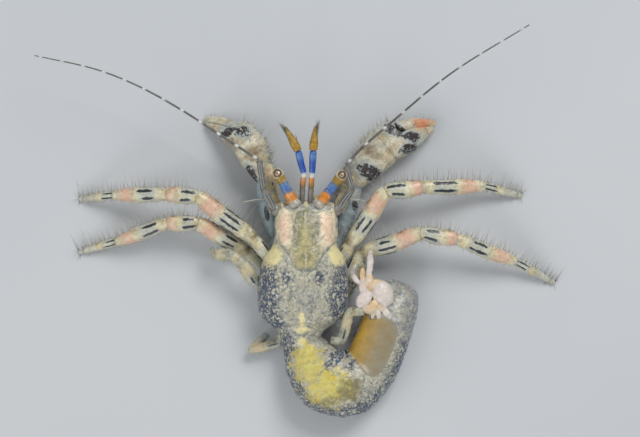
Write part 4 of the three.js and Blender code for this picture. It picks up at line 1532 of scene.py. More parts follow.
# ------------------------------------------------------------------ claws
@dataclass
class Cheliped:
    """A claw-bearing leg: blue-grey base and merus, broad spiny carpus, palm and finger."""

    side: Side
    root: Triple
    depth: float
    hinge: float
    finger_halves: Triple
    finger_offset: float
    seed: int
    articles: dict[str, tuple]
    marks: dict[str, tuple[Blob, ...]]

    BLUE_SIDES, CLAW_SIDES = 48, 84  # points in a ring
    FINGER_BOW = 0.22
    OVERHANG = 0.35
    ROWS = (
        TuftRow(0, 0.36, 3, 1.35, spread=0.34, sweep=0.25),
        TuftRow(22, 0.5, 2, 1.1, spread=0.3, sweep=0.3),
        TuftRow(345, 0.5, 2, 1.1, spread=0.3, sweep=0.3), TuftRow(60, 0.8, 2, 0.5, sweep=0.5),
        TuftRow(100, 0.9, 2, 0.4, sweep=0.5), TuftRow(150, 0.8, 2, 0.45, sweep=0.5),
        TuftRow(182, 0.6, 2, 0.6, sweep=0.4), TuftRow(250, 1.0, 2, 0.6, sweep=0.5),
        TuftRow(300, 0.9, 2, 0.7, sweep=0.5),
    )
    FINGER_ROWS = (TuftRow(10, 0.5, 2, 0.7, spread=0.3), TuftRow(70, 0.6, 2, 0.5),
                   TuftRow(300, 0.6, 2, 0.5))
    # Tubercles of an article: count, limits of share, limits of angle, size, frost.
    TUBERCLES = {
        "carpus": ((60, (0.15, 0.95), (15, 80), 0.13, 0.5),
                   (26, (0.2, 0.95), (150, 200), 0.12, 0.5)),
        "palm": ((50, (0.04, 0.3), (5, 70), 0.14, 0.5), (60, (0.05, 0.85), (60, 150), 0.09, 0.2),
                 (40, (0.05, 0.9), (165, 195), 0.13, 0.5)),
        "dactyl": ((36, (0.04, 0.8), (0, 80), 0.11, 0.5),),
    }
    # Spines or teeth of an article: count, limits of share, angle, length, half width.
    SPINES = {
        "carpus": ((6, (0.2, 0.94), 12, 0.6, 0.15), (5, (0.3, 0.9), 34, 0.34, 0.12)),
        "palm": ((4, (0.03, 0.24), 14, 0.34, 0.13),),
        "dactyl": ((9, (0.2, 0.92), 180, 0.06, 0.07),),
    }

    def plates(self) -> list[Plate]:
        """Lays out the main line of the limb.

        Returns:
            Its four articles.
        """
        plates = plates_along(self.root, self.articles, self.side, self.seed, depth=self.depth,
                              plan=self.marks)
        for plate in plates:
            broad = plate.part in self.TUBERCLES
            plate.square, plate.waist, plate.lumps, plate.rows = (
                (2.5, 0.1, 0.06, self.ROWS) if broad else (2.1, 0.16, 0.03, SHORT_ROWS))
        plates[-1].tip, plates[-1].cut = True, (self.hinge, 0.16)
        return plates

    def finger(self, palm: Plate) -> Plate:
        """Lays out the movable finger, which closes against the palm's inner side.

        Args:
            palm: the article that carries it.

        Returns:
            The finger.
        """
        line, inward = palm.line, self.side.value
        near = line.at(0.75 + 0.25 * self.hinge)[0]
        _, onward, side, _ = line.spot(0.98)
        hinge = near + unit(np.cross(onward, UP)) * inward * self.finger_offset
        bow = side * inward * self.FINGER_BOW
        tip = line.at(1.0)[0] + bow + onward * self.OVERHANG
        made = Line([hinge, (hinge + tip) / 2 + bow, tip])
        return Plate("dactyl", made, -0.04, 1.0, self.finger_halves, made.length, self.side,
                     random.Random(self.seed + 5), self.FINGER_ROWS, plan=self.marks, depth=1.25,
                     tip=True, waist=0.05)

    def dot(self, draft: Draft, plate: Plate) -> None:
        """Adds the pale tubercles, spines and teeth of an article.

        Args:
            draft: takes them.
            plate: the article.
        """
        chance = plate.chance
        for count, limits, angles, size, frost in self.TUBERCLES.get(plate.part, ()):
            shares = np.array([chance.uniform(*limits) for _ in range(count)])
            turns = np.radians([chance.uniform(*angles) for _ in range(count)])
            for point, way, ahead in zip(*plate.spot(shares, turns)):
                tall = size * chance.uniform(0.7, 1.3)
                cone(draft, point - way * 0.05, way + ahead * 0.3, tall, tall * 0.45,
                     {"frost": frost}, 0.0)
        for count, limits, angle, length, half in self.SPINES.get(plate.part, ()):
            turns = np.full(count, math.radians(angle))
            spots = zip(*plate.spot(np.linspace(*limits, count), turns))
            for step, (point, way, ahead) in enumerate(spots):
                size = length * (0.8 + 0.25 * math.sin(step * 1.7))
                cone(draft, point - way * half * 0.9, way + ahead * 0.75, size + half, half,
                     {"frost": 0.75})

    def build(self) -> None:
        """Builds every article, the joint skins and the coat."""
        name = f"cheliped_{self.side}"
        plates, setae = self.plates(), Setae(self.seed)
        for index, plate in enumerate([*plates, self.finger(plates[-1])]):
            draft = Draft()
            blue = index < 2
            if index == 0:
                add_coxa(draft, plate)
            plate.draw(draft, self.BLUE_SIDES if blue else self.CLAW_SIDES, setae, (index, 5),
                       None if index else {**BARE, "frost": 0.3})
            self.dot(draft, plate)
            draft.piece(f"{name}_{plate.part}_shell", Look.BLUE_GREY if blue else Look.CLAW,
                        "claw_shell", (f"{name}_{plate.part}",))
        add_joint_skins(f"{name}_joint_skins", plates, "claw_shell")
        setae.piece(f"{name}_setae", Look.SETA, "claw_shell")


# ------------------------------------------------------------------ trunk, abdomen and shield
@dataclass
class Trunk:
    """The rounded trunk under the shield: y, half width, top and underside from front to rear."""

    stations: tuple[tuple[float, ...], ...] = (
        (-6.5, 2.75, 5.15, 3.5), (-5.2, 3.1, 5.6, 1.5), (-2.6, 3.2, 6.0, 0.35),
        (-0.9, 4.1, 6.1, -0.12), (2.2, 4.5, 6.0, -0.12), (4.6, 4.05, 5.3, 0.05),
        (6.2, 2.2, 4.35, 0.75), (7.7, 1.7, 3.7, 0.7),
    )
    centre: float = 0.2
    skew: float = 0.05
    squareness: float = 0.86

    def __post_init__(self) -> None:
        """Traces each size along the body once."""
        self.traced = Line(self.stations).at(evenly(600))

    def sizes(self, y: Array) -> tuple[Array, ...]:
        """Returns half width, top level and underside level at y."""
        places, *sizes = self.traced.T
        return tuple(np.interp(y, places, size) for size in sizes)

    def middle(self, y: Array) -> Array:
        """Returns the midline's place across at y."""
        return self.centre + self.skew * y

    def roof(self, x: Array, y: Array) -> Array:
        """Works out the upper surface.

        Args:
            x: places across the body.
            y: places along it.

        Returns:
            Its level.
        """
        half, top, under = self.sizes(y)
        across = np.clip(np.abs(x - self.middle(y)) / half, 0, 0.995) ** (1 / self.squareness)
        lift = np.sqrt(1 - across**2) ** self.squareness
        return (top + under) / 2 + lift * (top - under) / 2

    def add(self, draft: Draft) -> None:
        """Adds the trunk as a closed form with rounded ends.

        Args:
            draft: takes it.
        """
        front, rear = self.stations[0][0], self.stations[-1][0]
        y = np.concatenate([[front, front + 0.03], np.linspace(front + 0.12, rear, 88)])[:, None]
        ends = np.append([0.86, 0.95], np.ones(88))[:, None]
        half, top, under = self.sizes(y)
        cos, sin = (np.sign(wave) * np.abs(wave) ** self.squareness
                    for wave in (np.cos(circle(72)), np.sin(circle(72))))
        x = self.middle(y) + cos * half * ends
        z = (top + under) / 2 + sin * (top - under) / 2 * ends
        body = np.stack([x, y + 0 * x, z], -1).reshape(-1, 3)
        centres = np.hstack([self.middle(y), y, (top + under) / 2])
        draft.add(np.vstack([body, centres[:1], centres[-1:]]), tube_faces(len(y), 72, False))


@dataclass
class Abdomen:
    """The soft coiled abdomen: x, y and half width along its middle line."""

    stations: tuple[Triple, ...] = (
        (0.2, 5.9, 1.5), (0.15, 7.3, 2.1), (-0.6, 9.1, 2.8), (-2.2, 10.8, 3.4), (-4.15, 11.25, 3.3),
        (-6.1, 9.9, 2.8), (-7.3, 7.6, 2.7), (-8.25, 5.0, 2.65), (-9.0, 2.9, 2.25), (-9.2, 1.2, 1.6),
    )
    flatness: float = 0.82
    sink: float = 0.1
    round_from: float = 0.93
    neck: tuple[Triple, ...] = ((-9.1, 1.9, 2.2), (-8.4, 2.1, 2.9), (-7.5, 2.4, 3.25))

    def __post_init__(self) -> None:
        """Lays the middle line."""
        self.line = Line([(x, y, half * self.flatness - self.sink) for x, y, half in self.stations])

    def half(self, share: Array) -> Array:
        """Works out the half width, rounded off at the end.

        Args:
            share: shares of the line.

        Returns:
            The half width at each share.
        """
        past = np.maximum(0, (share - self.round_from) / (1 - self.round_from))
        width = blend(tuple(row[2] for row in self.stations), share)
        return width * np.sqrt(np.maximum(0.12, 1 - past**2))

    def add(self, draft: Draft) -> None:
        """Adds the abdomen as a closed form, starting inside the trunk, with its tail's neck.

        Args:
            draft: takes it.
        """
        places = np.append([-0.035, -0.02], evenly(150))
        half = self.half(np.clip(places, 0, 1))
        half[:2] *= (0.8, 0.95)
        draft.bar(self.line, places, half, half * self.flatness, 64)
        pod(draft, self.neck, (1.3, 1.25, 0.95), 0.8, rings=30, sides=32)

    def locate(self, points: Array) -> tuple[Array, Array]:
        """Finds where points lie on the abdomen.

        Args:
            points: the points, one row each.

        Returns:
            Their shares of the middle line, and their places across it, outer side positive.
        """
        places = evenly(360)
        centre, _, side, _ = self.line.frame(places)
        half = self.half(places)
        found = []
        for block in np.array_split(points, len(points) // 8000 + 1):
            gap = block[:, None, :2] - centre[None, :, :2]
            nearest = (np.sum(gap**2, axis=-1) / half**2).argmin(axis=1)
            across = np.sum(gap[np.arange(len(block)), nearest] * side[nearest, :2], axis=1)
            found.append((places[nearest], across / half[nearest]))
        return tuple(np.concatenate(part) for part in zip(*found))


@dataclass
class Spread:
    """Every point of the skin, placed on the body."""

    x: Array
    y: Array
    share: Array  # along the abdomen
    across: Array  # across the abdomen
    belly: Array  # 0 on the trunk, 1 on the abdomen
    above: Array  # 1 on the upper side
    below: Array  # 1 on the underside
    window: Array  # field of the clear pane


@dataclass
class Skin:
    """The one soft skin of carapace flanks, thorax and abdomen, with its markings."""

    trunk: Trunk
    abdomen: Abdomen

    NODES = ("carapace", "thorax", "abdomen_1", "abdomen_2", "abdomen_3", "abdomen_4")
    # Where the navy net is deepest: the two flanks, a pair of small patches and the rear corner.
    NAVY = (Blob(4.0, 2.7, 1.45, 4.0), Blob(3.2, 5.0, 1.4, 1.0, -35), Blob(-3.6, 2.8, 1.35, 3.6),
            Blob(1.95, 0.75, 0.42, 0.7), Blob(-1.3, 0.8, 0.4, 0.7))
    NAVY_ABDOMEN = (Blob(-2.9, 8.7, 2.4, 0.62, 44), Blob(-3.9, 9.9, 1.7, 0.5, 40),
                    Blob(-1.2, 10.8, 0.9, 0.22, 14), Blob(-2.7, 10.3, 1.0, 0.25, -24),
                    Blob(1.35, 7.6, 0.3, 1.2, 8))
    KNOBS = (Blob(0.42, 4.85, 0.32, 0.75), Blob(0.35, 5.85, 0.7, 0.34),
             Blob(0.35, 7.05, 0.42, 0.45))
    WARM = (Blob(3.4, -1.5, 1.05, 1.15, -14), Blob(-3.05, -1.5, 0.85, 1.15, 14), *KNOBS)
    YOLK = (Blob(-0.25, 9.3, 1.5, 1.9, 12), Blob(-0.2, 8.1, 0.75, 0.9),
            Blob(-2.3, 11.6, 2.2, 1.8, 14))
    OLIVE = (Blob(-4.3, 11.7, 1.35, 1.35, 20), Blob(-2.6, 12.9, 1.6, 0.5, 10))
    GREY = (Blob(-1.2, 6.9, 0.8, 0.6, -20), Blob(0.1, 3.0, 0.9, 2.0))
    WINDOW = Blob(0.662, -0.42, 0.125, 0.9, 0.0, 4.0)
    STERNUM = (-3.6, -2.3, -1.1, 0.2, 1.9, 4.2)  # where the plates between the legs meet
    BED = 0.32  # how deep the shield lies in the skin
    BRANCHIAL_LOBES = (2.75, -2.35)
    CARDIAC_GROOVES = (1.3, -0.85)

    def build(self, shield: Shield) -> None:
        """Builds the skin with its folds, grooves and marking fields.

        Args:
            shield: the plate for which it leaves a bed.
        """
        form = Draft()
        self.trunk.add(form)
        self.abdomen.add(form)
        points, normals, faces = grow_together(np.vstack(form.points), form.faces, SKIN_VOXEL, 9)
        x, y, level = points[:, 0], points[:, 1], normals[:, 2]
        share, across = self.abdomen.locate(points)
        belly = np.maximum(smooth(y, 5.4, 6.6), smooth(-x, 4.8, 5.4))
        above = smooth(level, -0.35, 0.25)
        window = self.WINDOW.field(share, across) * belly + (belly - 1) - 2 * (1 - above)
        at = Spread(x, y, share, across, belly, above, smooth(-level, 0.1, 0.6), window)
        bed = smooth(shield.inside(x, y), 0.12, 0.42) * smooth(level, 0.05, 0.4)
        lift = self.folds(points, at) - self.BED * bed
        draft = Draft()
        draft.add(points + normals * lift[:, None], [faces], self.markings(at))
        draft.piece("soft_skin", Look.SKIN, "carapace_skin", self.NODES)

    def markings(self, at: Spread) -> Fields:
        """Works out the marking fields of the skin.

        Args:
            at: its points, placed on the body.

        Returns:
            Each field over the points.
        """
        x, y, belly = at.x, at.y, at.belly
        flank = smooth(strongest(self.NAVY, x, y), -0.35, 0.6) * (1 - 0.6 * at.below)
        outer = smooth(at.across, 0.5, 0.95) * smooth(at.share, 0.03, 0.12)
        inner = smooth(-at.across, 0.6, 1.0) * smooth(at.share, 0.2, 0.36)
        drawn = smooth(strongest(self.NAVY_ABDOMEN, x, y), -0.2, 0.5)
        coil = np.maximum(np.maximum(outer, drawn), inner * 0.7)
        face = smooth(-y, 5.6, 6.1)
        tail = belly * smooth(at.share, 0.66, 0.8)
        sternum = at.below * smooth(-np.abs(x - 0.2), -2.2, -1.6)
        grey = np.maximum(0.75 * smooth(strongest(self.GREY, x, y), -0.2, 0.5), face * 0.4)
        yolk, olive = (strongest(blobs, x, y) * belly + (belly - 1) - 3 * at.below
                       for blobs in (self.YOLK, self.OLIVE))
        return {
            "navy": (flank * (1 - belly) + coil * belly) * (1 - 0.25 * tail) * (1 - face),
            "warm": strongest(self.WARM, x, y) - 3 * at.below,
            "yolk": yolk - 0.6 * (np.abs(at.across) > 0.9), "olive": olive, "window": at.window,
            "pane": smooth(at.across, -1.0, 0.3) * smooth(at.window, -0.03, 0.02),
            "grey": np.maximum(np.maximum(grey, tail * 0.9), 0.6 * sternum),
        }

    def folds(self, points: Array, at: Spread) -> Array:
        """Works out the folds of the skin.

        Args:
            points: its points, one row each.
            at: the same points, placed on the body.

        Returns:
            How far each point stands out.
        """
        x, y, trunk = at.x, at.y, (1 - at.belly) * at.above
        pane = smooth(at.window, 0.0, 0.12)
        lift = (0.07 * ripple(points, 1.3, 1) + 0.04 * ripple(points, 0.4, 2)) * (1 - 0.85 * pane)
        crease = np.sin(at.share * 210 + 3.2 * ripple(points, 2.0, 3)) * at.belly
        lift += 0.022 * crease * smooth(-at.window, 0.0, 0.12) * smooth(np.abs(at.across), 0.2, 0.8)
        lift -= 0.03 * pane * at.above
        for middle in self.BRANCHIAL_LOBES:
            lift += 0.2 * bell(x - middle, 1.48) * bell(y - 2.2, 2.65) * trunk
        for middle in self.CARDIAC_GROOVES:
            groove = bell(x - middle - 0.02 * y, 0.17)
            lift -= 0.15 * groove * smooth(y, 0.1, 0.9) * smooth(-y, -5.6, -4.6) * trunk
        for knob in self.KNOBS:
            lift += 0.07 * smooth(knob.field(x, y), 0.0, 0.6) * at.above
        bow = (x - 0.3) ** 2
        seam = bell(y - 5.35 - 0.12 * bow, 0.09) + bell(y - 6.45 - 0.1 * bow, 0.09)
        lift -= 0.09 * seam * smooth(-np.abs(x - 0.3), -2.4, -1.6) * at.above
        plate = at.below * (1 - at.belly) * smooth(-np.abs(x - 0.2), -2.3, -1.7)
        for step in self.STERNUM:
            lift -= 0.13 * bell(y - step - 0.1 * (x - 0.2) ** 2, 0.12) * plate
        return lift - 0.12 * bell(x - 0.2, 0.1) * plate * smooth(-y, -5.0, -4.4)


@dataclass
class Shield:
    """The hard shield: toothed front edge, straight sides, tapering rear and cervical grooves."""

    trunk: Trunk
    outline: tuple[tuple[float, float], ...] = (  # y and half width
        (-6.5, 2.8), (-5.9, 3.0), (-4.4, 3.08), (-3.3, 3.1), (-2.75, 2.95), (-2.3, 2.5),
        (-1.7, 2.0), (-0.9, 1.6), (-0.25, 1.26), (0.25, 1.02),
    )
    front_edge: tuple[tuple[float, float], ...] = (  # x and y
        (-3.2, -5.8), (-2.9, -6.0), (-2.65, -6.42), (-2.35, -6.1), (-1.5, -5.95), (-0.5, -6.0),
        (-0.1, -6.42), (0.3, -6.0), (1.2, -5.95), (2.0, -6.1), (2.3, -6.42), (2.6, -6.0),
        (3.2, -5.75),
    )
    rear: float = 0.15
    rear_bow: float = 0.16
    thickness: float = 0.39
    raised: float = 0.03
    drop: float = 0.08  # how far its edge dips
    groove_depth: float = 0.11
    columns: int = 92
    rows: int = 110

    FIELDS = {
        "pink": (Blob(2.15, -4.5, 1.05, 2.0), Blob(-2.15, -4.5, 1.05, 2.0),
                 Blob(2.0, -3.3, 0.7, 0.9), Blob(-2.3, -3.0, 0.8, 0.7)),
        "mottle": (Blob(0.0, -5.3, 1.3, 1.2), Blob(0.95, -3.9, 0.55, 1.6),
                   Blob(-0.95, -3.9, 0.55, 1.6), Blob(0.0, -1.3, 0.7, 0.5),
                   Blob(0.0, 0.0, 1.1, 0.35)),
        "yellow": (Blob(0.05, -1.5, 1.2, 2.2), Blob(0.05, -3.6, 0.9, 1.8)),
        "pale": (Blob(0.0, -4.4, 0.13, 2.2), Blob(1.05, -2.15, 0.3, 0.2),
                 Blob(-0.95, -2.1, 0.3, 0.2), Blob(-1.1, -3.2, 0.14, 0.9, 6),
                 Blob(0.0, -1.2, 0.1, 1.3)),
    }
    TEETH = ((2.3, 0.5, 0.16), (-2.65, 0.5, 0.16), (-0.1, 0.5, 0.2), (2.75, 0.35, 0.12),
             (-3.0, 0.35, 0.12))  # x, length and half width

    def __post_init__(self) -> None:
        """Traces the outline once."""
        self.traced = [Line(rows).at(evenly(400)).T
                       for rows in (self.outline, self.front_edge)]

    def half(self, y: Array) -> Array:
        """Returns the half width at y."""
        return np.interp(y, *self.traced[0])

    def front(self, x: Array) -> Array:
        """Returns where the front edge lies at x."""
        return np.interp(x, *self.traced[1])

    def inside(self, x: Array, y: Array) -> Array:
        """Returns how deep inside the outline a place lies, in millimetres."""
        ends = np.minimum(y - self.front(x), self.rear - y)
        return np.minimum(self.half(y) - np.abs(x - 0.01 * y), ends)

    def grooves(self, x: Array, y: Array) -> Array:
        """Works out the engraved grooves.

        Args:
            x: places across the shield.
            y: places along it.

        Returns:
            How strong they are, 0 to 1.
        """
        reach = np.abs(x)
        arch = -2.35 - 0.28 * np.minimum(reach, 1.1) ** 2 - 0.9 * smooth(reach, 1.0, 2.2)
        cut = 0.9 * bell(y - arch, 0.09) * smooth(-reach, -2.5, -1.7)
        cut += (0.7 * bell(reach - 1.35 + 0.22 * (y + 2), 0.08)
                * smooth(y, -2.6, -2.1) * smooth(-y, -0.1, 0.5))
        cut += (0.7 * bell(reach - 1.45 + 0.12 * (y + 6), 0.09)
                * smooth(y, -6.0, -5.4) * smooth(-y, 2.6, 3.4))
        cut += 0.5 * bell(reach, 0.05) * smooth(-y, 2.4, 3.0)
        cut += 0.5 * bell(y + 2.0 + 0.15 * x**2, 0.06) * smooth(-reach, -1.1, -0.8)
        return np.clip(cut, 0, 1)

    def build(self) -> None:
        """Builds the plate, its marginal spines and its few tufts."""
        columns, rows = self.columns, self.rows
        across = np.sin(np.linspace(-math.pi / 2, math.pi / 2, columns))[None]
        front = self.front(np.broadcast_to(across * 3.0, (rows, columns)))
        rear = self.rear + self.rear_bow * (1 - across**2)
        y = front + (rear - front) * evenly(rows)[:, None]
        x = 0.01 * y + across * self.half(y)
        edge = np.minimum((1 - np.abs(across)) * self.half(y) * 1.3,
                          np.minimum(y - front, rear - y))
        flat = np.stack([x, y, 0 * x], -1).reshape(-1, 3)
        relief = 0.16 * bell(x, 1.0) * bell(y + 4.3, 1.5) + 0.1 * bell(x, 0.9) * bell(y + 1.0, 0.9)
        relief += 0.14 * bell(np.abs(x) - 2.2, 0.6) * bell(y + 4.4, 1.4)
        relief += (0.05 * ripple(flat, 0.7, 5) + 0.02 * ripple(flat, 0.2, 6, 2)).reshape(x.shape)
        groove = self.grooves(x, y)
        roof = self.trunk.roof(x, y) + self.raised + relief - self.groove_depth * groove
        top = roof - (1 - smooth(edge, -0.02, 0.42)) * self.drop
        upper, lower = (np.stack([x, y, level], -1).reshape(-1, 3)
                        for level in (top, roof - self.thickness))
        cells = (np.arange(rows - 1)[:, None] * columns + np.arange(columns - 1)).ravel()
        quads = np.stack([cells, cells + 1, cells + columns + 1, cells + columns], -1)
        total = rows * columns
        border = np.concatenate([
            np.arange(columns), columns - 1 + columns * np.arange(1, rows),
            total - 2 - np.arange(columns - 1), columns * np.arange(rows - 2, 0, -1)])
        after = np.roll(border, -1)
        wall = np.stack([border, border + total, after + total, after], -1)
        fields = {key: strongest(blobs, x, y) for key, blobs in self.FIELDS.items()}
        # Painted shade in the grooves, read by the shield's groove layer.
        fields["groove"] = groove
        fields["side"] = smooth(0.75 - edge, 0.0, 0.6) * smooth(y, -3.6, -2.4)
        draft = Draft()
        draft.add(np.vstack([upper, lower]), [quads, quads[:, ::-1] + total, wall],
                  {key: np.tile(value.ravel(), 2) for key, value in fields.items()})
        for tooth, length, half in self.TEETH:
            y = self.front(tooth) + 0.2
            root = np.array([tooth, y, self.trunk.roof(tooth, y) - 0.12])
            cone(draft, root, np.array([0.05 * tooth, -1.0, 0.12]), length, half, {"pale": 1.0})
        draft.piece("shield_plate", Look.SHIELD, "shield_plate", ("shield",))
        setae = Setae(71)
        spots = [(0.7 + 0.42 * step, -5.7 + 0.55 * step + 0.25 * (step % 2)) for step in range(6)]
        spots += [(2.6, -5.4 + 0.6 * step) for step in range(5)]
        spots += [(0.95, -1.9 + 0.5 * step) for step in range(4)]
        for x, y in [(x * side, y) for side in (-1, 1) for x, y in spots]:
            root = np.array([x, y, self.trunk.roof(x, y) + 0.05])
            setae.tuft(root, unit([0.12 * x, -0.35, 1.0]), np.array([0.0, -0.6, 0.0]), 3, 0.42,
                       0.016, 0.3, (x / 6.4 + 0.5, (y + 6.6) / 7.2))
        setae.piece("shield_setae", Look.SETA, "shield_plate")


# ------------------------------------------------------------------ head
@dataclass
class Eye:
    """A stalked eye: the banded stalk with its small basal scale, and the glossy cornea."""

    side: Side
    root: Triple
    heading: float
    length: float
    rise: float = 5.0
    halves: Triple = (0.62, 0.5, 0.5)
    cornea: float = 0.56
    ring: float = 0.32
    ring_width: float = 0.17

    def build(self) -> None:
        """Builds stalk, scale and cornea."""
        line = straight(np.array(self.root), direction(self.heading, self.rise) * self.length)
        places = np.concatenate([[-0.04, -0.03], np.linspace(0, 1.0, 40), [1.01]])
        share = np.clip(places, 0, 1)
        half = blend(self.halves, share) * (1 + 0.12 * bell(share - 0.06, 0.08))
        half *= 1 - 0.1 * bell(share - 0.17, 0.05)
        half[[0, 1, -1]] *= (0.3, 0.75, 0.3)
        relief = 0.04 * np.cos(circle(36)) ** 2 * smooth(share, 0.7, 1.0)[:, None]
        relief = relief + 0.012 * ripple(line.at(places), 0.5, 4)[:, None]
        draft = Draft()
        draft.bar(line, places, half, half, 36, relief=relief, fields={"length": share})
        draft.piece(f"eyestalk_{self.side}_shell", Look.EYESTALK, "eyestalk",
                    (f"eyestalk_{self.side}",))
        self.add_cornea(line)
        self.add_scale()
        setae = Setae(20 + self.side.value)
        setae.along(line, np.linspace(0.3, 0.8, 7), (61,), self.side, 0.5, 0.36, sweep=0.5)
        setae.piece(f"eyestalk_{self.side}_setae", Look.SETA, "eyestalk")

    def add_cornea(self, line: Line) -> None:
        """Adds the eye itself, a little broader than the stalk and rounded at its end.

        Args:
            line: the stalk's middle.
        """
        end, way, _, _ = line.spot(1.0)
        centre, reach = end - way * 0.14, way * self.cornea * 1.12
        turn = np.linspace(-1.48, 1.51, 34)
        body = straight(centre - reach, reach * 2)
        places, half = 0.5 + 0.5 * np.sin(turn), self.cornea * np.cos(turn) ** 0.92
        middle, out = ring_points(body, places, np.tile(half[:, None], 48), half, 1)
        gap = np.linalg.norm((middle + out - centre - way * 0.12)[..., :2], axis=-1)
        upward = smooth(np.sin(circle(48)), 0.05, 0.5)
        draft = Draft()
        # The fields ring and middle place the painted pseudopupil on the eye's upper side.
        draft.bar(body, places, half, half, 48, fields={
            "ring": np.where(upward > 0.02, 1 - np.abs(gap - self.ring) / self.ring_width, -1.0),
            "middle": (1 - gap / (self.ring - 0.06)) * upward})
        draft.piece(f"cornea_{self.side}_lens", Look.CORNEA, "cornea", (f"cornea_{self.side}",))

    def add_scale(self) -> None:
        """Adds the pointed scale at the stalk's foot."""
        way = direction(-6 * self.side.value, 12)
        line = straight(np.array(self.root) + (-0.22 * self.side.value, 0.35, 0.12), way * 1.1)
        places = evenly(14)
        half = 0.36 * np.sqrt(np.maximum(1 - places**2.2, 0.012))
        draft = Draft()
        draft.bar(line, places, half, half * 0.55, 20, fields={**BARE, "frost": 0.3})
        cone(draft, line.spot(0.9)[0], way, 0.26, 0.07, {"frost": 0.6})
        draft.piece(f"ocular_scale_{self.side}", Look.PALE, "eyestalk")


@dataclass
class Antennule:
    """A first antenna: a three-article banded stalk, the brush-bearing lash and the thin lash."""

    side: Side
    root: Triple
    headings: Triple
    lash: Triple  # length, heading and rise
    lengths: Triple = (1.9, 1.4, 2.45)
    rises: Triple = (6, 12, 14)
    halves: tuple[float, ...] = (0.26, 0.26, 0.3, 0.28, 0.3, 0.34, 0.34)
    lash_halves: tuple[float, ...] = (0.4, 0.44, 0.36, 0.24, 0.1)
    rings: int = 19

    LASH_FROM = 0.75  # share of the middle line at which the stalk ends

    def build(self) -> None:
        """Builds stalk, lashes and brush."""
        line = limb_line(self.root, [*zip(self.lengths, self.headings, self.rises), self.lash])
        places = np.linspace(0, self.LASH_FROM, 64)
        share = np.mod(places * 4, 1)
        half = blend(self.halves, places / self.LASH_FROM)
        half *= 1 - 0.22 * bell(share, 0.07) - 0.16 * bell(1 - share, 0.05)
        half[[0, -1]] = (0.06, 0.12)
        draft = Draft()
        draft.bar(line, places, half, half * 0.92, 30, fields={"length": line.run(places)})
        draft.piece(f"antennule_{self.side}_shell", Look.ANTENNULE, "antennule",
                    (f"antennule_{self.side}",))
        share = evenly(self.rings * 5)
        half = blend(self.lash_halves, share) * (1 + 0.02 * np.sin(share * self.rings * math.tau))
        half[[0, -1]] = (0.1, 0.03)
        draft, out = Draft(), self.side.value
        draft.bar(line, self.LASH_FROM + 0.252 * share, half, half * 0.85, 24,
                  fields={"length": share})
        start = line.spot(0.752)[0] + (-0.16 * out, 0.0, -0.2)
        way = direction(self.lash[1] * 0.2 - 8 * out, 0)
        path = Line([start, start + way * 0.8, start + way * 1.6 + UP * 0.12])
        whip(draft, path, 0.085, 0.03, 10, {"length": 0.5})
        draft.piece(f"antennule_lash_{self.side}_shell", Look.LASH_TIP, "antennule_lash",
                    (f"antennule_lash_{self.side}",))
        setae = Setae(34 + out)
        setae.along(line, np.linspace(0.77, 0.99, 40), (-110, -146, -178, 148), self.side, 0.15,
                    0.95, first=0.42, sweep=3.3, spread=0.06, fan=0.25)
        setae.piece(f"antennule_brush_{self.side}", Look.BRUSH, "antennule_lash")


